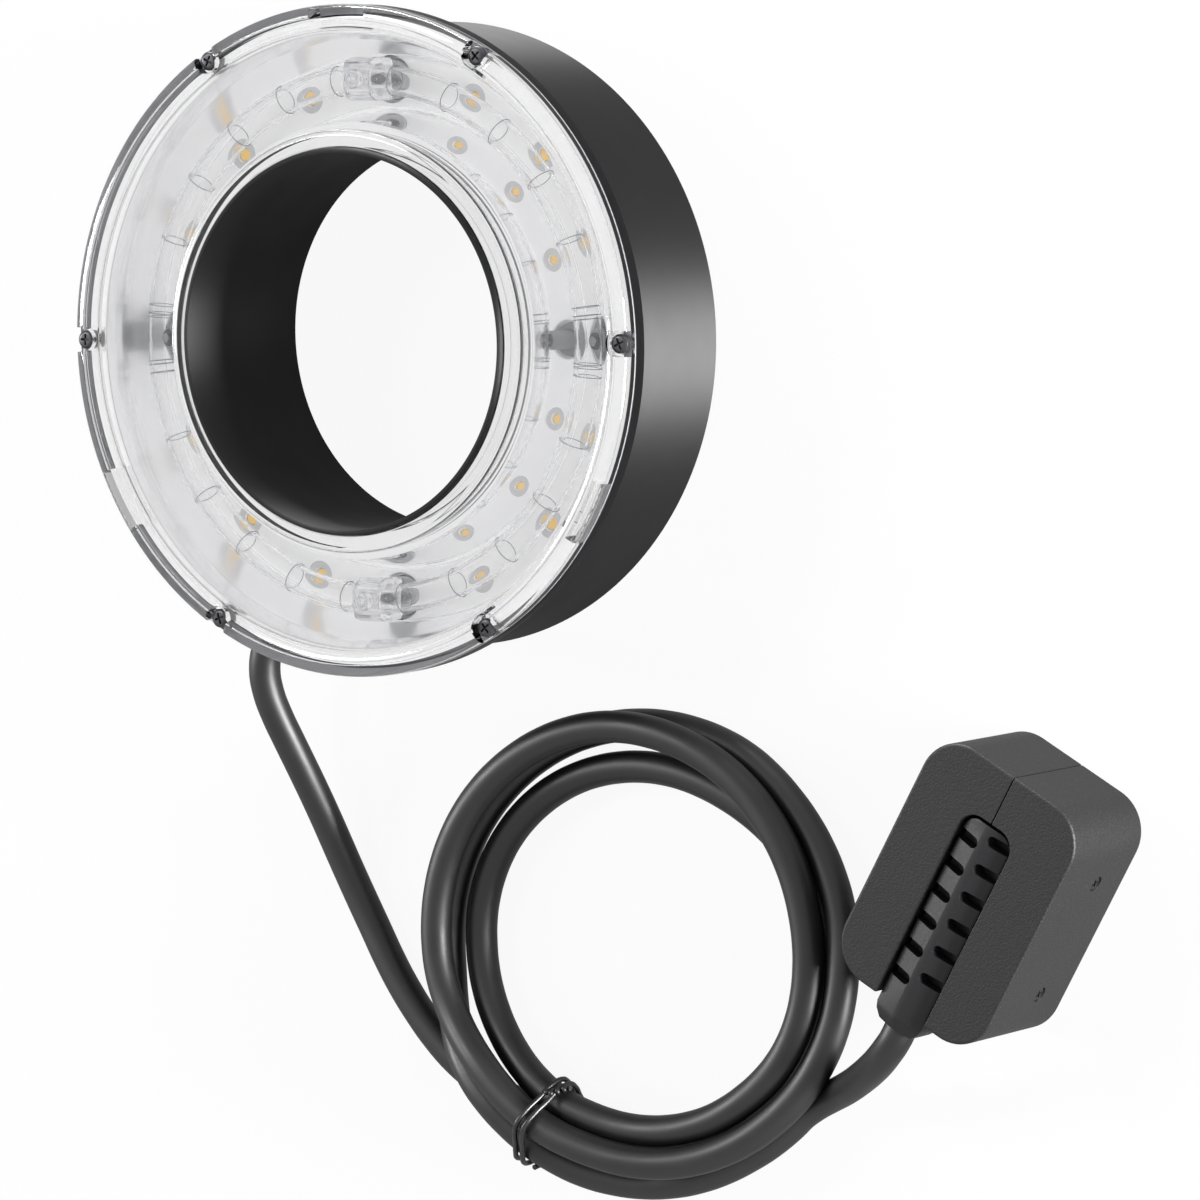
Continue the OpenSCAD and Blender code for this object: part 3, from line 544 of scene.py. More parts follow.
def clear(name, code, ior, rough, wave=0.0, depth=0.0):
    """Clear moulding or glass. A wave size gives it the faint waves of a thick moulding."""
    made, tree, shader = material(name, IOR=ior, Roughness=rough)
    shader.inputs["Base Color"].default_value = linear(code)
    shader.inputs["Transmission Weight"].default_value = 1.0
    if wave:
        bumpy(tree, shader, grain(tree, wave, 1.0), depth, 0.5)
    return made


def silvered(colour):
    """Vacuum-metallised bowl: a mirror on its inner wall, a white satin floor, a soft mirror outside.

    A little glow stands in for the light that the clear cover scatters down into the bowl.
    """
    made, tree, shader = material("metallised_reflector")
    place = node(tree, "ShaderNodeTexCoord").outputs["Object"]
    split = node(tree, "ShaderNodeSeparateXYZ", {"Vector": place})
    flat = node(tree, "ShaderNodeCombineXYZ", {"X": split.outputs["X"], "Y": split.outputs["Y"]})
    radius = node(tree, "ShaderNodeVectorMath", {0: flat.outputs[0]}, operation="LENGTH").outputs["Value"]
    zone = spread(tree, radius, 0, 1, 0.055, 0.09)
    for key, inner, floor, outer in (
        ("Roughness", ((0.0, 0.04), (0.29, 0.05)), (0.33, 0.71, 0.35), (0.76, 0.2)),
        ("Metallic", ((0.0, 0.97), (0.3, 0.97)), (0.33, 0.71, 0.12), (0.76, 0.9)),
        ("Emission Color", ((0.0, 0.06), (0.3, 0.06)), (0.33, 0.71, 0.25), (0.78, 0.09)),
    ):
        stops = [*inner, (floor[0], floor[2]), (floor[1], floor[2]), outer, (1.0, outer[1])]
        tree.links.new(ramp(tree, zone, stops), shader.inputs[key])
    shader.inputs["Emission Strength"].default_value = 1.0
    cloud = grain(tree, 9)
    tree.links.new(shaded(tree, cloud, scaled(colour, 0.97), scaled(colour, 1.0)), shader.inputs["Base Color"])
    bumpy(tree, shader, cloud, 0.005, 0.3)
    return made


def plain(name, code, rough, metallic=0.0, size=0.8, depth=0.01, glow=0.0):
    """A small piece's finish: one colour with a little cloud, and a fine grain. A glow makes the piece glow though it
    is no lamp: painted light.
    """
    made, tree, shader = material(name, Metallic=metallic)
    # Painted glow: white emission of the given strength, standing in for light on the piece
    shader.inputs["Emission Color"].default_value = linear("#ffffff")
    shader.inputs["Emission Strength"].default_value = glow
    fine = grain(tree, size)
    surfaced(tree, shader, linear(code), fine, 0.9, 1.1, fine, (rough * 0.85, rough * 1.15))
    bumpy(tree, shader, fine, depth, 0.5)
    return made


# ---------------------------------------------------------------- route of the lead

# Angle along the winding in degrees, distance from the coil's middle and height, in millimetres
WINDING = [
    (-150, 72.4, 4.5), (-142, 68.4, 4.6), (-135, 64.8, 5.3), (-127, 60.7, 6.2), (-120, 57.4, 6.6),
    (-113, 54.8, 6.4), (-105, 53.4, 5.4), (-96, 53.2, 4.6), (-90, 53.4, 4.5), (-60, 54.9, 4.5),
    (-45, 55.6, 4.5), (-30, 57.7, 4.5), (0, 60.9, 4.5), (30, 58.6, 4.5), (60, 55.8, 4.5),
    (90, 55.2, 4.5), (120, 55, 4.5), (150, 54.8, 4.5), (180, 54, 4.5), (205, 52.6, 6.6),
    (225, 50.8, 10.4), (240, 49.7, 13.5), (247, 49.5, 14.4), (255, 49.6, 14.4), (264, 50.2, 14),
    (275, 51.1, 13.9), (285, 52, 14), (300, 53.5, 14), (315, 55, 14.1), (330, 56.9, 14.1),
    (345, 58.2, 14), (360, 59, 13.9), (375, 60.2, 14.1), (390, 61.9, 14.2), (405, 63.8, 14.3),
    (420, 65.6, 14.3), (450, 67.8, 14.4), (470, 67.4, 14.4), (495, 65.9, 14.3), (520, 64.1, 14.2),
    (535, 63, 14.3), (548, 61.8, 14.8), (558, 60.1, 15.8), (566, 58.3, 17.6), (575, 56.5, 19.5),
    (585, 55.9, 20.5), (600, 56.2, 21), (610, 56.5, 21), (620, 57.3, 20.4), (630, 58.7, 19.7),
    (645, 61.1, 18), (660, 63.1, 16.2), (675, 64.8, 14.8), (690, 66.5, 13.3), (705, 67.7, 12.2),
    (720, 68.2, 11), (735, 68.4, 8.9), (750, 68, 6.9), (765, 68, 5.6), (780, 68.5, 4.6),
    (795, 68.3, 4.5), (810, 67.6, 4.5), (855, 65.4, 4.5), (895, 64.8, 4.5), (908, 65.2, 4.6),
    (918, 65.8, 6.5), (926, 65.4, 10), (934, 64.8, 13.2), (944, 64.3, 15), (953, 64.6, 15),
    (962, 65.5, 13.9), (975, 67.6, 9.4), (989, 68.2, 5.2), (1005, 67.3, 4.5), (1020, 66.6, 4.5),
    (1035, 67, 4.5),
]
COIL_MIDDLE = (65.0, -176.0)
COIL_STRETCH = (1.03, 0.97)
COIL_STEP = 7.5
LEAD_POINTS = [
    (-53.8, -97, 21.7), (-53.5, -104, 20.5), (-51.8, -111, 18.7), (-49.6, -118, 16.4),
    (-47.1, -126, 13.6), (-44.6, -134, 10.9), (-42, -142, 8.6), (-39.2, -150, 6.8),
    (-36, -158, 5.5), (-32.2, -166, 4.8), (-28, -174, 4.5), (-23.6, -182, 4.5),
    (-18.6, -190, 4.5), (-12.6, -198, 4.5), (-6.5, -204.9, 4.5),
]
TAIL_POINTS = [
    (117.1, -218.9, 4.5), (122.3, -215.4, 4.9), (128, -212.6, 6.8), (133.9, -210, 9.9),
    (139.7, -207.3, 13.9), (145.2, -204.5, 18.2), (150.6, -201.5, 22.5), (155.6, -198.3, 26.3),
    (159.9, -194.9, 29.3),
]
GLAND_ANGLE = math.radians(-120)
GLAND_HEIGHT = 22.0
GLAND_END = 100.0
PLUG_PLACE = (187.5, -149.0, 0.0)
PLUG_TURN = math.radians(-29.6)
CORD_HEIGHT = 31.0
BOOT_END = -44.0
TIE_ANGLE = -118.0
# Distance from the coil's middle and height of the tie's wire, once round the strands
TIE_LOOP = (
    (71.8, 13.9), (70.8, 16.8), (68.9, 18.8), (64.6, 22.2), (60.2, 25.8), (56.4, 27.4),
    (52.1, 25.4), (48.6, 21.9), (44.8, 18.8), (43.1, 14.4), (44.7, 10.1), (47.9, 6),
    (50.5, 2.9), (53.6, 0.9), (57.6, 0.9), (61.5, 1.9), (66.3, 4.9), (70.7, 8.9),
)


def eased(angle, column):
    """The winding's radius or height at an angle, on a smooth curve through its stations."""
    i = 0
    while i < len(WINDING) - 2 and angle >= WINDING[i + 1][0]:
        i += 1

    def slope(k):
        low, high = WINDING[max(k - 1, 0)], WINDING[min(k + 1, len(WINDING) - 1)]
        return (high[column] - low[column]) / (high[0] - low[0])

    step = WINDING[i + 1][0] - WINDING[i][0]
    t = (angle - WINDING[i][0]) / step
    return (
        (2 * t**3 - 3 * t**2 + 1) * WINDING[i][column]
        + (t**3 - 2 * t**2 + t) * step * slope(i)
        + (3 * t**2 - 2 * t**3) * WINDING[i + 1][column]
        + (t**3 - t**2) * step * slope(i + 1)
    )


def coil_point(angle, radius=None, height=None):
    a = math.radians(angle)
    r = eased(angle, 1) if radius is None else radius
    z = max(4.5, eased(angle, 2)) if height is None else height
    return (
        COIL_MIDDLE[0] + COIL_STRETCH[0] * r * math.cos(a),
        COIL_MIDDLE[1] + COIL_STRETCH[1] * r * math.sin(a),
        z,
    )


def plug_point(x, y, z):
    c, s = math.cos(PLUG_TURN), math.sin(PLUG_TURN)
    return (PLUG_PLACE[0] + x * c - y * s, PLUG_PLACE[1] + x * s + y * c, z)


def lead_route():
    """The whole line that the lead follows, from the strain relief to the boot, in millimetres."""
    exits = [polar(r, GLAND_ANGLE, GLAND_HEIGHT) for r in (GLAND_END, GLAND_END + 4.5)]
    first, last = WINDING[0][0], WINDING[-1][0]
    count = round((last - first) / COIL_STEP)
    coil = [coil_point(first + (last - first) * i / count) for i in range(count + 1)]
    ends = [plug_point(0, BOOT_END - 4.5, CORD_HEIGHT), plug_point(0, BOOT_END, CORD_HEIGHT)]
    return exits + LEAD_POINTS + coil + TAIL_POINTS + ends


def tube_along(name, points, diameter, sides):
    """A smooth round tube through the points, which are in millimetres."""
    curve = bpy.data.curves.new(name, "CURVE")
    curve.dimensions = "3D"
    curve.bevel_depth = diameter / 2
    curve.bevel_resolution = sides
    curve.use_fill_caps = True
    curve.resolution_u = 4
    line = curve.splines.new("BEZIER")
    line.bezier_points.add(len(points) - 1)
    for knot, point in zip(line.bezier_points, points):
        knot.co = Vector(point) * MM
        knot.handle_left_type = knot.handle_right_type = "AUTO"
    piece = bpy.data.objects.new(name, curve)
    bpy.context.scene.collection.objects.link(piece)
    return piece


def route_length(points):
    return sum((Vector(b) - Vector(a)).length for a, b in zip(points, points[1:])) * MM


# ---------------------------------------------------------------- operators


class RING_OT_stage(bpy.types.Operator):
    """Sets up the camera, the pale floor, the soft lamps and the white surroundings"""

    bl_idname = "ring.stage"
    bl_label = "Stage"

    def execute(self, context):
        scene = context.scene
        scene.view_settings.view_transform = "Standard"
        scene.cycles.max_bounces = 24
        scene.cycles.transmission_bounces = 24
        scene.cycles.glossy_bounces = 10
        scene.cycles.transparent_max_bounces = 16
        lens = bpy.data.cameras.new("photo_camera")
        lens.lens = CAMERA_LENS
        lens.sensor_width = FILM_WIDTH
        lens.clip_end = 50.0
        camera = bpy.data.objects.new("photo_camera", lens)
        axes = Matrix((CAMERA_RIGHT, CAMERA_UP, CAMERA_BACK)).transposed().to_4x4()
        camera.matrix_world = Matrix.Translation(CAMERA_PLACE) @ axes
        scene.collection.objects.link(camera)
        scene.camera = camera
        bpy.ops.mesh.primitive_plane_add(size=FLOOR_SIZE, location=(0, 0, -FLOOR_GAP))
        floor = context.object
        floor.name = "floor"
        floor.data.materials.append(self.floor_paint())
        self.surroundings(scene)
        for lamp in LAMPS:
            self.hang(scene, *lamp)
        return {"FINISHED"}

    def hang(self, scene, name, turn, rise, far, wide, tall, light):
        """A soft rectangular lamp that faces the target."""
        lamp = bpy.data.lights.new(name, "AREA")
        lamp.shape = "RECTANGLE"
        lamp.size = wide
        lamp.size_y = tall
        lamp.energy = light * math.pi * far**2
        turn, rise = math.radians(turn), math.radians(rise)
        aim = Vector((math.cos(rise) * math.cos(turn), math.cos(rise) * math.sin(turn), math.sin(rise)))
        place = Matrix.Translation(Vector(LAMP_TARGET) + aim * far)
        holder = bpy.data.objects.new(name, lamp)
        holder.matrix_world = place @ aim.to_track_quat("Z", "Y").to_matrix().to_4x4()
        holder.visible_transmission = False
        scene.collection.objects.link(holder)

    def floor_paint(self):
        """White studio paper: it shows as white, keeps a soft shadow, and is greyer in metal."""
        made, tree, shader = material("studio_paper", Roughness=0.9, level=0.1)
        shader.inputs["Base Color"].default_value = linear("#f4f4f4")
        ray, seen = shows_background(tree)
        level = spread(tree, ray.outputs["Is Glossy Ray"], 1.0, 0.48, 0, 1)
        glow = node(tree, "ShaderNodeEmission", {"Strength": level})
        share = node(tree, "ShaderNodeMath", {0: seen, 1: 0.93}, operation="MULTIPLY")
        mix = node(tree, "ShaderNodeMixShader", {0: share.outputs[0], 1: shader.outputs[0], 2: glow.outputs[0]})
        out = next(n for n in tree.nodes if n.type == "OUTPUT_MATERIAL")
        tree.links.new(mix.outputs[0], out.inputs["Surface"])
        return made

    def surroundings(self, scene):
        """White to the eye, and a low even light on the object."""
        world = bpy.data.worlds.new("white_studio")
        world.use_nodes = True
        scene.world = world
        tree = world.node_tree
        tree.nodes.clear()
        _, seen = shows_background(tree)
        glow = node(tree, "ShaderNodeBackground", {"Strength": spread(tree, seen, 0.15, 1.0, 0, 1)})
        out = node(tree, "ShaderNodeOutputWorld")
        tree.links.new(glow.outputs[0], out.inputs["Surface"])


class RING_OT_lead(bpy.types.Operator):
    """Lays the rubber lead: out of the head, three turns and a bit round the coil, and up into the boot"""

    bl_idname = "ring.lead"
    bl_label = "Lead"

    def execute(self, context):
        sizes, colours = context.scene.lead_sizes, context.scene.head_colours
        route = lead_route()
        lead = tube_along("lead", route, sizes.cord_diameter, sides=7)
        lead.data.materials.append(rubber("extruded_rubber_jacket", colours.jacket))
        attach(lead, "root")
        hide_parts("cord_lead", "cord_coil", "cord_tail")
        context.scene["lead_length"] = route_length(route)
        return {"FINISHED"}


class RING_OT_tie(bpy.types.Operator):
    """Ties the coil's strands with two turns of thin wire and a twisted end"""

    bl_idname = "ring.tie"
    bl_label = "Tie"

    def execute(self, context):
        turns, pitch = 2, 2.6
        count = len(TIE_LOOP)
        points = []
        for i in range(count * turns + 1):
            r, z = TIE_LOOP[i % count]
            along = (i / count - turns / 2) * pitch
            points.append(coil_point(TIE_ANGLE + math.degrees(along / r), r, z))
        wraps = tube_along("tie", points, 0.0016, sides=3)
        ends = [wraps]
        for side in (-1, 1):
            twist = [coil_point(TIE_ANGLE + side * 1.2, 46.9, 20.6)]
            for k in range(9):
                a = k * 1.15 + (0 if side > 0 else math.pi)
                angle = TIE_ANGLE + math.cos(a) + k * 0.5
                twist.append(coil_point(angle, 46.2 - k * 0.42, 20.6 + 0.9 * math.sin(a) - k * 0.4))
            ends.append(tube_along("tie_end", twist, 0.0015, sides=3))
        for piece in ends:
            choose(piece)
            bpy.ops.object.convert(target="MESH")
        tie = joined("tie", ends)
        finish(tie, rubber("coated_tie_wire", linear("#101011"), (0.3, 0.42)), "boot_black", "cord_tie", smooth=60)
        return {"FINISHED"}


class RING_OT_housing(bpy.types.Operator):
    """Turns the anodised housing, with its rounded back edge, inner lip and cord hole"""

    bl_idname = "ring.housing"
    bl_label = "Housing"

    def execute(self, context):
        outer = context.scene.head_sizes.body_radius / MM
        inner = outer - 2
        profile = [
            (inner, 0), (outer - 0.5, 0), (outer, 0.5), (outer, 44.5), (outer - 0.35, 44.85), (inner, 44.85),
            (inner, 4), (inner - 4, 4), (inner - 4, 2.5), (inner, 2.5),
        ]
        housing = turned("housing", profile)
        hole = laid(rod("hole", 6.1, 84, 96), z=GLAND_HEIGHT)
        combine(housing, spun(hole, GLAND_ANGLE))
        round_edges(housing, 0.2, 2, 30)
        colour = context.scene.head_colours.anodised
        metal = anodised_aluminium("black_anodised_aluminium", colour, 0.58, 0.58, 0.94)
        finish(housing, metal, "anodised_body", "outer_housing")
        return {"FINISHED"}


class RING_OT_collar(bpy.types.Operator):
    """Turns the gloss black collar between the housing and the clear cover"""

    bl_idname = "ring.collar"
    bl_label = "Collar"

    def execute(self, context):
        rim = context.scene.head_sizes.rim_radius / MM
        profile = [
            (88.2, 46), (88.2, 45.05), (rim - 1.2, 45.05), (rim - 0.5, 45.25), (rim - 0.1, 45.7), (rim - 0.1, 49.5),
            (rim - 0.4, 49.95), (92.1, 49.95), (92.1, 49.2), (88.2, 49.2), (88.2, 46.2), (86.9, 46), (86.9, 34.1),
            (87.8, 34.1), (87.8, 46),
        ]
        collar = turned("collar", profile)
        screw_holes(collar, 1.5, 45.4, 51)
        round_edges(collar, 0.15, 2, 40)
        finish(collar, gloss_black(context.scene.head_colours.collar), "black_collar", "front_ring")
        return {"FINISHED"}


class RING_OT_cover(bpy.types.Operator):
    """Moulds the clear cover: a thin window in a thick stepped rim, with screw notches and three slots"""

    bl_idname = "ring.cover"
    bl_label = "Clear cover"

    def execute(self, context):
        rim = context.scene.head_sizes.rim_radius / MM
        top = context.scene.head_sizes.depth / MM
        edge = (
            (0, 2.3), (0.25, 1.5), (0.8, 0.9), (1.7, 0.45), (2.5, 0.2), (3.3, 0.1), (3.5, 0.85), (4.3, 0.85),
            (4.5, 0.1), (5.2, 0.2), (6.2, 0.6),
        )
        lip = ((59.9, 0.6), (59.3, 0.5), (58.7, 0.1), (58.1, 0), (56.6, 0), (55.4, 0.15), (55.1, 0.45))
        profile = [
            (55.1, 50.05), (58.3, 50.05), (58.9, 51.2), (59.2, 52.6), (60.2, 53.3), (86.6, 53.3), (87.8, 52.6),
            (88.2, 51.2), (88.8, 50.05), (rim - 0.6, 50.05), (rim - 0.15, 50.4), (rim, 51),
            *[(rim - r, top - z) for r, z in edge], *[(r, top - z) for r, z in lip],
        ]
        cover = turned("clear_cover", profile)
        combine(cover, joined("notches", [self.notch(k * TURN / SCREWS_ROUND, top) for k in range(SCREWS_ROUND)]))
        screw_holes(cover, 1.7, 49, 53)
        profile = [(91.3, 49), (94.1, 49), (94.1, 57), (91.3, 57)]
        for middle in SLOT_MIDDLES:
            span, start = math.radians(2 * SLOT_HALF_ANGLE), math.radians(middle + SLOT_HALF_ANGLE)
            slot = turned("slot", profile, 16, span, start)
            edit_all(slot)
            bpy.ops.mesh.select_all(action="DESELECT")
            bpy.ops.mesh.select_non_manifold()
            bpy.ops.mesh.edge_face_add()
            close_edit()
            combine(cover, slot)
        round_edges(cover, 0.12, 2, 40)
        finish(cover, clear("moulded_polycarbonate", "#fefefe", 1.49, 0.0), "clear_cover", "front_cover")
        return {"FINISHED"}

    def notch(self, angle, top):
        """A round pocket that opens to the rim."""
        corners = [(10, 3.6), *arc((0, 0), 3.6, 90, 270, 16), (10, -3.6)]
        piece = raised("notch", [(COVER_SCREW_CIRCLE + x, y) for x, y in corners], 52.3, top + 2)
        return spun(piece, angle)


class RING_OT_cover_screws(bpy.types.Operator):
    """Makes the black pan-head screws in the cover's notches"""

    bl_idname = "ring.cover_screws"
    bl_label = "Cover screws"

    def execute(self, context):
        screws = []
        crown = (((0, 0, 0.35), (0.82, 0.82, 1)), ((0, 0, 0.15), (0.72, 0.72, 1)))
        for k in range(SCREWS_ROUND):
            head = rod("head", 2.7, 52.3, 53.75, sides=40)
            pulled(head, lambda face: face.normal.z > 0.9, crown)
            cross_cut(head, (3.3, 0.62, 3), 54.55)
            round_edges(head, 0.08, 2, 35)
            screw = joined("screw", [head, rod("shank", 1.4, 45.6, 52.4, sides=24)])
            screws.append(on_circle(screw, 0.4 + k * 0.37, COVER_SCREW_CIRCLE, k * TURN / SCREWS_ROUND))
        steel = plain("black_oxide_steel", "#4a4a4d", 0.34, 0.8, 0.6, 0.006)
        finish(joined("cover_screws_fitted", screws), steel, "screw_black", "cover_screws")
        return {"FINISHED"}


class RING_OT_sleeve(bpy.types.Operator):
    """Turns the satin black lens sleeve, with its proud front lip and flared back"""

    bl_idname = "ring.sleeve"
    bl_label = "Lens sleeve"

    def execute(self, context):
        bore = context.scene.head_sizes.bore_radius / MM
        lip = context.scene.head_sizes.depth / MM + 1
        back = (
            (2.6, 0.3), (3.0, 0), (3.9, 0), (4.2, 0.4), (4.2, 2.5), (6.8, 2.5), (6.8, 4), (4.1, 4), (1.7, 46.2),
            (4.2, 47.8), (4.2, 49.15), (1.6, 49.15),
        )
        front = ((1.6, 0.6), (1.35, 0.2), (1.0, 0), (0.45, 0), (0.12, 0.2), (0, 0.6), (0, 8))
        profile = [(bore + r, z) for r, z in back] + [(bore + r, lip - z) for r, z in front]
        sleeve = turned("lens_sleeve", profile)
        colour = context.scene.head_colours.sleeve
        metal = anodised_aluminium("black_anodised_sleeve", colour, 0.55, 0.3, 0.9)
        finish(sleeve, metal, "black_satin", "inner_sleeve")
        return {"FINISHED"}


class RING_OT_back(bpy.types.Operator):
    """Makes the plain rear cover with its countersunk screws"""

    bl_idname = "ring.back"
    bl_label = "Rear cover"

    def execute(self, context):
        plate = turned("rear_plate", [(57.75, 0), (87.75, 0), (87.75, 2.5), (57.75, 2.5)])
        first = math.radians(30)
        screw_holes(plate, 2.95, -1, 1.4, REAR_SCREW_CIRCLE, first, 40)
        screw_holes(plate, 1.7, 1, 3, REAR_SCREW_CIRCLE, first)
        round_edges(plate, 0.25, 2, 35)
        finish(plate, satin_black("moulded_rear_cover", linear("#1d1d1f"), 0.6, 0.03), "black_satin", "rear_cover")
        screws = []
        for k in range(SCREWS_ROUND):
            head = rod("head", 2.72, 0.25, 1.4, sides=40)
            round_edges(head, 0.3, 3, 35)
            cross_cut(head, (3.1, 0.62, 1.6), 0.2)
            screw = joined("screw", [head, rod("shank", 1.4, 1.3, 10.4, sides=24)])
            screws.append(on_circle(screw, 0.9 + k * 0.51, REAR_SCREW_CIRCLE, first + k * TURN / SCREWS_ROUND))
        steel = plain("black_oxide_back_screws", "#1b1b1d", 0.3, 0.75, 0.6, 0.006)
        finish(joined("rear_screws_fitted", screws), steel, "screw_black", "rear_screws")
        return {"FINISHED"}


class RING_OT_reflector(bpy.types.Operator):
    """Presses the silvered bowl: a steep mirror wall inside, a flat floor with its holes, a soft wall outside"""

    bl_idname = "ring.reflector"
    bl_label = "Reflector"

    def execute(self, context):
        steps = 22
        inner, outer = [], []
        for i in range(steps + 1):
            t = i / steps
            inner.append((62.0 + 3.2 * t, 49.2 - 21.2 * t))
            outer.append((80 + 5.4 * t**0.45, 28 + 17 * t))
        front = [(55.1, 50), (61.2, 50), (61.8, 49.7), *inner[1:], *outer, (87, 49.6), (87.4, 50), (91.6, 50)]
        back = [(91.6, 49.25), (88.0, 49.25), *[(r + 0.9, z) for r, z in reversed(outer[2:])], (80, 27.05)]
        back += [(65.3, 27.05), *[(r - 0.9, z) for r, z in reversed(inner[1:-2])], (60.8, 49.25), (55.1, 49.25)]
        bowl = turned("reflector_bowl", front + back)
        ring = context.scene.head_sizes.tube_ring / MM
        pockets, holes = [], []
        for k in range(STATIONS):
            spot = (ring, k * TURN / STATIONS)
            if k % 4 == 0:
                holes.append(rod("hole", 7.15, 20, 36, spot, sides=64))
            else:
                pockets.append(rod("pocket", 4.4, FLOOR_TOP - 0.45, FLOOR_TOP + 2, spot, sides=64))
                holes.append(rod("hole", 2.1, 20, 36, spot, sides=40))
        combine(bowl, joined("pockets", pockets))
        combine(bowl, joined("holes", holes))
        screw_holes(bowl, 1.7, 48, 52)
        finish(bowl, silvered(context.scene.head_colours.silver), "reflector_silver", "reflector", smooth=30)
        return {"FINISHED"}


class RING_OT_flash_tube(bpy.types.Operator):
    """Blows the ring of glass tube with its two stems, hollow all the way"""

    bl_idname = "ring.flash_tube"
    bl_label = "Flash tube"

    def execute(self, context):
        ring, z, r = tube_sizes(context.scene)
        glass = donut("glass_tube", ring, r, z)
        for a in (0, math.pi):
            combine(glass, rod("stem", 2.5, 19.4, z, (ring, a), sides=32), "UNION")
        hollow = donut("hollow", ring, r - GLASS_WALL, z, tube_steps=40)
        for a in (0, math.pi):
            combine(hollow, rod("bore", 1.7, 18, z, (ring, a), sides=24), "UNION")
        combine(glass, hollow)
        finish(glass, clear("drawn_tube_glass", "#fefefe", 1.47, 0.0), "tube_glass", "flash_tube", smooth=50)
        return {"FINISHED"}


class RING_OT_trigger_wire(bpy.types.Operator):
    """Winds the thin trigger wire round the tube as hoops on a long wire"""

    bl_idname = "ring.trigger_wire"
    bl_label = "Trigger wire"

    def execute(self, context):
        ring, z, r = tube_sizes(context.scene)
        angles = [(k + 0.5) * TURN / TRIGGER_HOOPS for k in range(TRIGGER_HOOPS)]
        for side in (0, math.pi):
            angles += [side + d for d in (-0.099, -0.085, 0.085, 0.099)]
        hoops = [donut("hoop", r + 0.16, 0.13, z, (ring, a), ring_steps=32, tube_steps=6) for a in angles]
        nickel = plain("nickel_trigger_wire", "#8e9196", 0.3, 1.0, 0.5, 0.002)
        finish(joined("trigger_hoops", hoops), nickel, "nickel_wire", "trigger_wire")
        return {"FINISHED"}


class RING_OT_stem_sleeves(bpy.types.Operator):
    """Slips the grey silicone sleeves over the tube's stems"""

    bl_idname = "ring.stem_sleeves"
    bl_label = "Stem sleeves"

    def execute(self, context):
        ring, z, r = tube_sizes(context.scene)
        top = z - r - 0.3
        sleeve = turned(
            "stem_sleeve",
            [(2.55, FLOOR_FOOT), (3.5, FLOOR_FOOT), (3.5, top - 1.2), (3.3, top - 0.4), (2.9, top), (2.55, top)],
            steps=48,
        )
        sleeves = copied(shifted(sleeve, ring), (0, math.pi), "stem_sleeves_fitted")
        silicone = satin_black("grey_silicone", linear("#a4a6aa"), 0.6, 0.02, (0.5, 0.6), 0.4)
        finish(sleeves, silicone, "silicone_grey", "electrode_sleeves")
        return {"FINISHED"}


class RING_OT_tube_clips(bpy.types.Operator):
    """Makes the two clear clips that hold the tube, each on a post in a hole of the bowl"""

    bl_idname = "ring.tube_clips"
    bl_label = "Tube clips"

    def execute(self, context):
        ring, z, r = tube_sizes(context.scene)
        plastic = clear("clear_clip_plastic", "#f8f8fa", 1.49, 0.03, 4, 0.02)
        corners = [
            (-r - 2, z - r - 1.6), (-r - 0.6, z - r - 2.4), (r + 0.6, z - r - 2.4), (r + 2, z - r - 1.6),
            (r + 2, z + r * 0.5), (r + 0.9, z + r + 0.6), (2.8, z + r + 1.6), (-2.8, z + r + 1.6),
            (-r - 0.9, z + r + 0.6), (-r - 2, z + r * 0.5),
        ]
        clip = drawn("clip", corners, -4.5, 4.5)
        shifted(clip, ring)
        combine(clip, donut("tube_way", ring, r + 0.15, z, tube_steps=32))
        round_edges(clip, 0.45, 3, 30)
        post = turned(
            "post",
            [
                (0.4, FLOOR_FOOT), (3.2, FLOOR_FOOT), (3.2, 30.5), (2.5, 30.9), (2.5, 31.8), (3.2, 32.2), (3.2, 34),
                (0.4, 34),
            ],
            steps=48,
        )
        clips = copied(joined("clip", [clip, shifted(post, ring)]), (TURN / 4, -TURN / 4), "tube_clips_fitted")
        finish(clips, plastic, "clear_plastic", "tube_clips")
        knob = turned(
            "knob",
            [
                (1.2, 45.9), (2.7, 45.9), (2.8, 46.1), (2.8, 47.2), (2.5, 47.65), (1.9, 47.75), (1.55, 47.5),
                (1.2, 47.0), (0.4, 46.9), (0.4, 45.9),
            ],
            steps=40,
        )
        knobs = copied(shifted(knob, ring), (TURN / 4, -TURN / 4), "clip_knobs")
        finish(knobs, clear("clear_knob_plastic", "#f6f6f8", 1.49, 0.05, 3, 0.02), "clear_plastic", "clip_screws")
        return {"FINISHED"}


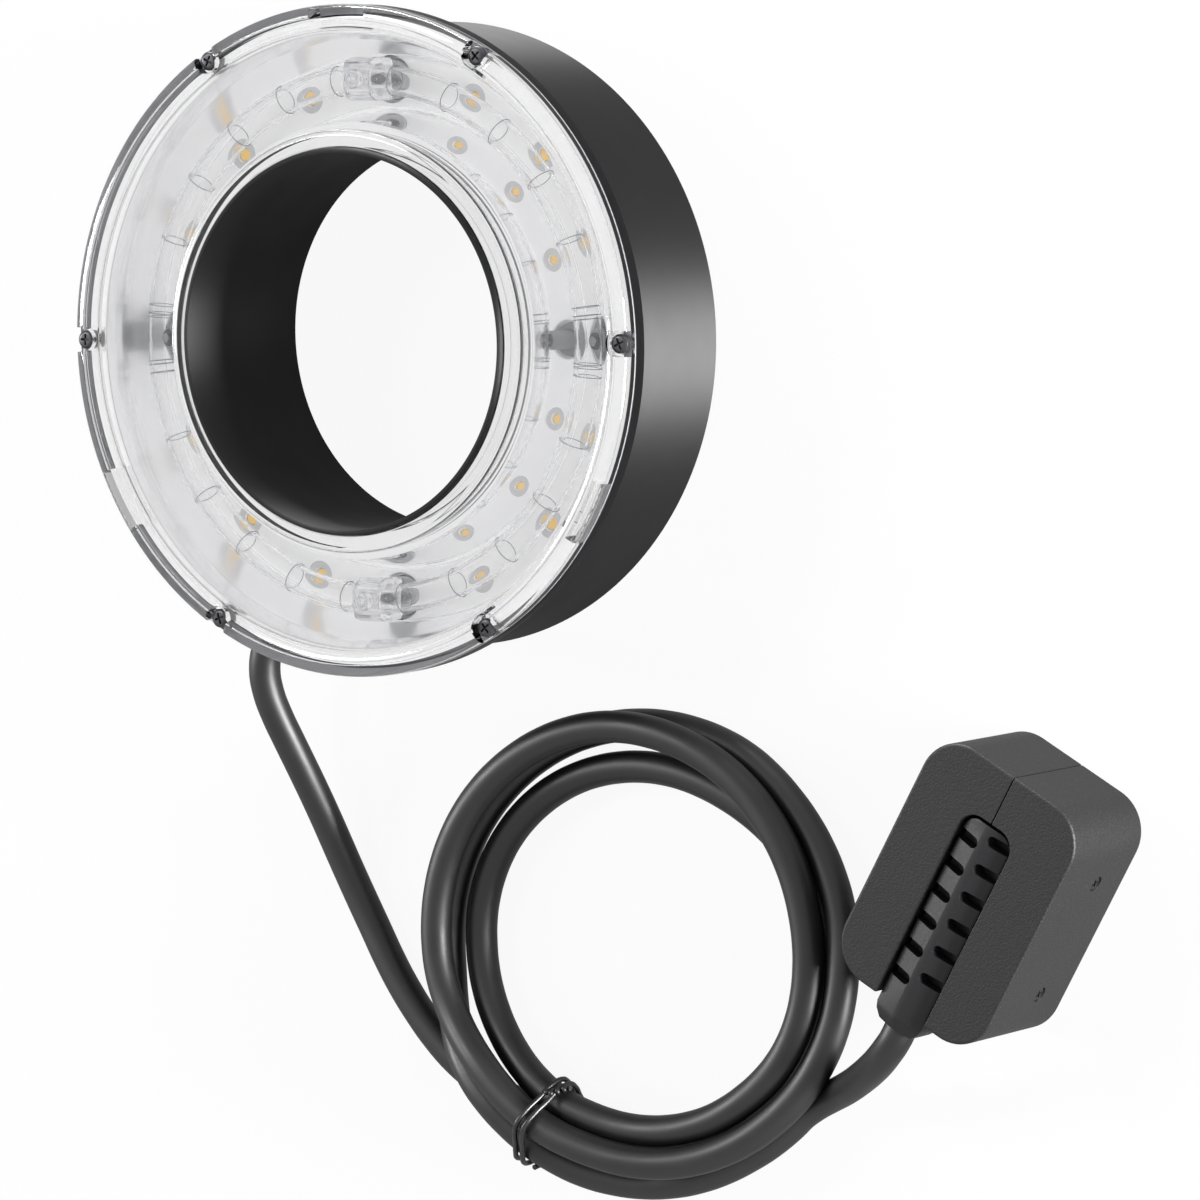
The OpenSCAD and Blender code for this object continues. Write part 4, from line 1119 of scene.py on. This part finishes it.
class RING_OT_lamps(bpy.types.Operator):
    """Sets the twelve small lamps behind their holes: a white package with a yellow gel dot"""

    bl_idname = "ring.lamps"
    bl_label = "Lamps"

    def execute(self, context):
        ring = context.scene.head_sizes.tube_ring / MM
        package = block("package", (3.5, 2.8, 0.7), (ring, 0, 26.37))
        round_edges(package, 0.12, 2)
        dot = rod("dot", 1.8, 26.7, 27.0, (ring, 0), sides=32, top=1.6)
        round_edges(dot, 0.08, 2)
        spots = [k * TURN / STATIONS for k in range(STATIONS) if k % 4]
        seat = rod("seat", 4.35, FLOOR_TOP - 0.44, FLOOR_TOP - 0.34, (ring, 0), sides=64)
        combine(seat, rod("seat_hole", 2.15, 27, FLOOR_TOP, (ring, 0), sides=40))
        # The seats' glow of 0.2 is painted light: the seats are no lamps
        finish(copied(seat, spots, "lamp_seats"), plain("pressed_lamp_seats_painted_glow", "#bdbec2", 0.45, glow=0.2), "phosphor")
        packages = copied(package, spots, "lamp_packages")
        finish(packages, plain("lamp_package_grey", "#a9aab0", 0.5, 0.0), "phosphor")
        dots = copied(dot, spots, "lamp_dots")
        colour = context.scene.head_colours.phosphor
        made, tree, shader = material("yellow_phosphor_gel_painted_glow", Roughness=0.45)
        # Painted glow: the lamps are not lit, and this emission only brightens the yellow dots as painted light
        shader.inputs["Emission Strength"].default_value = 0.35
        shader.inputs["Emission Color"].default_value = colour
        specks = shaded(tree, grain(tree, 0.3), scaled(colour, 0.85), scaled(colour, 1.1))
        tree.links.new(specks, shader.inputs["Base Color"])
        finish(dots, made, "phosphor", "lamps")
        return {"FINISHED"}


class RING_OT_bushes(bpy.types.Operator):
    """Fills the bowl's four round holes: grey round the stems, pale under the clips"""

    bl_idname = "ring.bushes"
    bl_label = "Bushes"

    def execute(self, context):
        ring = context.scene.head_sizes.tube_ring / MM
        profile = [(3.6, FLOOR_FOOT), (5.95, FLOOR_FOOT), (5.95, 27.1), (5.6, 27.5), (3.9, 27.5), (3.6, 27.2)]
        for name, code, start, nodes in (
            ("grey_bushes", "#8c8c90", 0, ["floor_bushes"]),
            ("pale_bushes", "#e4e5e9", TURN / 4, []),
        ):
            bush = shifted(turned(name, profile, steps=56), ring)
            pair = copied(bush, (start, start + math.pi), name)
            nylon = satin_black(name + "_nylon", linear(code), 0.5, 0.02, (0.4, 0.5), 0.5)
            finish(pair, nylon, "white_plastic", *nodes)
        return {"FINISHED"}


class RING_OT_gland(bpy.types.Operator):
    """Makes the strain relief where the lead leaves the housing"""

    bl_idname = "ring.gland"
    bl_label = "Strain relief"

    def execute(self, context):
        profile = [
            (3.3, 84), (5.9, 84), (5.95, 85.4), (7.6, 85.5), (7.75, 85.8), (7.75, 86.9), (7.5, 87.2), (5.95, 87.4),
            (5.95, 90.1), (7.3, 90.15), (7.7, 90.5), (7.6, 91.5), (6.9, 92.1), (6.0, 92.4), (6.0, 93), (6.45, 93.3),
            (6.4, 94.4), (5.7, 94.7), (5.7, 95.2), (6.15, 95.5), (6.1, 96.6), (5.45, 96.9), (5.45, 97.4),
            (5.85, 97.7), (5.8, 98.9), (5.4, 99.8), (4.9, 100), (0.3, 100), (0.3, 97), (3.3, 97),
        ]
        gland = turned("strain_relief", profile, steps=64)
        spun(laid(gland, z=GLAND_HEIGHT), GLAND_ANGLE)
        plastic = satin_black("moulded_strain_relief", linear("#161617"), 0.4, 0.01, (0.36, 0.5))
        finish(gland, plastic, "boot_black", "cord_gland")
        return {"FINISHED"}


class RING_OT_plug_shells(bpy.types.Operator):
    """Moulds the plug's two shells, which meet in a seam and leave a channel for the boot"""

    bl_idname = "ring.plug_shells"
    bl_label = "Plug shells"

    def execute(self, context):
        sizes = context.scene.lead_sizes
        w, l, h = (v / MM for v in (sizes.plug_width, sizes.plug_length, sizes.plug_height))
        black = satin_black("spark_eroded_abs", context.scene.head_colours.plug, 0.6, 0.2, (0.44, 0.6), 0.42)
        for side, node_name in ((-1, "plug_shell_left"), (1, "plug_shell_right")):
            shell = raised("plug_" + ("left" if side < 0 else "right"), rounded(w, l, 12, 14), 0, h)
            round_edges(shell, 0.9, 3, 50)
            inside = raised("inside", rounded(w - 2 * PLUG_WALL, l - 2 * PLUG_WALL, 9.8, 10), -1, h - PLUG_WALL)
            keep = block("keep", (21.2, l, 17.3), (0, -13.2, h - 17.3 / 2))
            combine(inside, keep)
            combine(shell, inside)
            channel = raised("channel", self.channel(l), h - 15.3, h + 3)
            combine(shell, channel)
            half = block("half", (w, l * 1.4, h * 3), (-side * (w / 2 - HALF_SEAM), 0, 0))
            combine(shell, half)
            if side > 0:
                wells = [rod("well", 2.3, 24.6, 30, sides=32) for _ in PLUG_SCREW_ROWS]
                for well, y in zip(wells, PLUG_SCREW_ROWS):
                    laid(well, y, PLUG_SCREW_HEIGHT)
                combine(shell, joined("wells", wells))
            round_edges(shell, 0.28, 2, 50)
            finish(place_plug(shell), black, "plug_black", node_name, smooth=40)
        return {"FINISHED"}

    def channel(self, l):
        """The channel's outline: rounded at its head, open at the cord's end."""
        top, half, r = l / 2 - 15, 8.8, 5.5
        left, right = (-half + r, top - r), (half - r, top - r)
        return [(-half, -l), (half, -l), *arc(right, r, 0, 90, 8), *arc(left, r, 90, 180, 8)]


class RING_OT_boot(bpy.types.Operator):
    """Moulds the flexible boot: a ridged back with staggered slots, narrowing to the lead"""

    bl_idname = "ring.boot"
    bl_label = "Boot"

    def execute(self, context):
        h = context.scene.lead_sizes.plug_height / MM
        top, half, r = 21.6, 7.9, 4.8
        crest = [(half - 0.8, h - 1.5), (1.2, h + 0.1), (0, h + 0.2), (-1.2, h + 0.1), (-half + 0.8, h - 1.5)]
        roof = [(-half, 23), (half, 23), (half, h - 1.9), *crest, (-half, h - 1.9)]
        boot = drawn("boot", roof, -39.5, top)
        left, right = (-half + r, top - r), (half - r, top - r)
        trim = [(-half - 1, top + 5), (-half - 1, top - r), *arc(left, r, 180, 90, 8)]
        trim += [*arc(right, r, 90, 0, 8), (half + 1, top - r), (half + 1, top + 5)]
        combine(boot, raised("trim", trim, 20, h + 4))
        neck = (((0, -2.0, 0), (0.93, 1, 0.93)), ((0, -2.4, 0), (0.78, 1, 0.8)))
        pulled(boot, lambda face: face.normal.y < -0.9 and face.center.y < -0.039, neck, (0, 0, CORD_HEIGHT))
        round_edges(boot, 0.6, 3, 30)
        slots = []
        for k in range(BOOT_SLOTS):
            for side in (-1, 1):
                y = top - 6.5 - k * BOOT_SLOT_STEP + (BOOT_SLOT_STAGGER if side > 0 else 0)
                slots.append(self.slot(side, y, h))
        combine(boot, joined("slots", slots))
        round_edges(boot, 0.2, 2, 50)
        plastic = satin_black("flexible_boot_elastomer", linear("#161618"), 0.4, 0.03, (0.42, 0.54), 0.36)
        finish(place_plug(boot), plastic, "boot_black", "plug_boot", smooth=40)
        return {"FINISHED"}

    def slot(self, side, y, h):
        """A slot from the boot's side to near its ridge, with a round inner end."""
        half = 1.6
        corners = [(12, half), *arc((0.9 + half, 0), half, 90, 270, 10), (12, -half)]
        return raised("slot", [(side * x, y + v) for x, v in corners], h - 5, h + 3)


class RING_OT_plug_screws(bpy.types.Operator):
    """Makes the plug's two recessed screws"""

    bl_idname = "ring.plug_screws"
    bl_label = "Plug screws"

    def execute(self, context):
        screws = []
        for y in PLUG_SCREW_ROWS:
            head = rod("head", 2.15, 24.6, 25.6, sides=32)
            round_edges(head, 0.25, 2)
            cross_cut(head, (2.6, 0.55, 1.6), 25.7, 0.5)
            screw = joined("screw", [head, rod("shank", 1.2, -13, 24.7, sides=20)])
            screws.append(laid(screw, y, PLUG_SCREW_HEIGHT))
        steel = plain("black_zinc_steel", "#39393c", 0.3, 0.85, 0.6, 0.004)
        finish(place_plug(joined("plug_screws_fitted", screws)), steel, "screw_black", "plug_screws")
        return {"FINISHED"}


class RING_OT_inner_parts(bpy.types.Operator):
    """Gives every piece that the CAD model already shapes its own finish"""

    bl_idname = "ring.inner_parts"
    bl_label = "Inner parts"

    def execute(self, context):
        finishes = {
            "electrodes": plain("nickel_electrodes", "#8f9195", 0.35, 1.0),
            "lamp_board": plain("white_solder_mask", "#dfe0e2", 0.4),
            "chassis": satin_black("moulded_chassis", linear("#232325"), 0.8, 0.04),
            "trigger_board": plain("green_solder_mask", "#1f5a38", 0.3),
            "trigger_transformer": plain("potting_compound", "#2d3440", 0.35),
            "trigger_capacitor": plain("dipped_film_capacitor", "#8a3b24", 0.3),
            "cord_clamp": satin_black("moulded_clamp", linear("#2a2a2c"), 0.6, 0.03),
            "clamp_screws": plain("zinc_plated_steel", "#909296", 0.3, 1.0),
            "cord_core": rubber("inner_sheath", linear("#2b2b2d")),
            "plug_base": satin_black("moulded_plug_base", linear("#1e1e20"), 0.6, 0.03),
            "contact_block": satin_black("moulded_contact_block", linear("#2c2c2f"), 0.5, 0.02),
            "contact_pins": plain("gold_plated_brass", "#d2a850", 0.22, 1.0, 0.4, 0.002),
            "plug_board": plain("green_plug_board", "#1f5a38", 0.3),
        }
        for name, finish_material in finishes.items():
            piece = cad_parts[name]
            piece.data.materials.clear()
            piece.data.materials.append(finish_material)
        return {"FINISHED"}


class RING_PT_panel(bpy.types.Panel):
    """Lists the pieces of the ring flash head"""

    bl_idname = "RING_PT_panel"
    bl_label = "Ring flash head"
    bl_space_type = "VIEW_3D"
    bl_region_type = "UI"
    bl_category = "Ring flash"

    def draw(self, context):
        column = self.layout.column()
        for group in (context.scene.head_sizes, context.scene.lead_sizes, context.scene.head_colours):
            for key in group.__annotations__:
                column.prop(group, key)
        for operator in OPERATORS:
            column.operator(operator.bl_idname)


OPERATORS = (
    RING_OT_stage, RING_OT_lead, RING_OT_tie, RING_OT_housing, RING_OT_collar, RING_OT_cover, RING_OT_cover_screws,
    RING_OT_sleeve, RING_OT_back, RING_OT_reflector, RING_OT_flash_tube, RING_OT_trigger_wire, RING_OT_stem_sleeves,
    RING_OT_tube_clips, RING_OT_lamps, RING_OT_bushes, RING_OT_gland, RING_OT_plug_shells, RING_OT_boot,
    RING_OT_plug_screws, RING_OT_inner_parts,
)
CLASSES = (HeadSizes, LeadSizes, HeadColours) + OPERATORS + (RING_PT_panel,)


def register():
    for cls in CLASSES:
        bpy.utils.register_class(cls)
    bpy.types.Scene.head_sizes = PointerProperty(type=HeadSizes)
    bpy.types.Scene.lead_sizes = PointerProperty(type=LeadSizes)
    bpy.types.Scene.head_colours = PointerProperty(type=HeadColours)


def unregister():
    for key in ("head_sizes", "lead_sizes", "head_colours"):
        delattr(bpy.types.Scene, key)
    for cls in reversed(CLASSES):
        bpy.utils.unregister_class(cls)


def main():
    register()
    for operator in OPERATORS:
        group, name = operator.bl_idname.split(".")
        getattr(getattr(bpy.ops, group), name)()


if __name__ == "__main__":
    main()
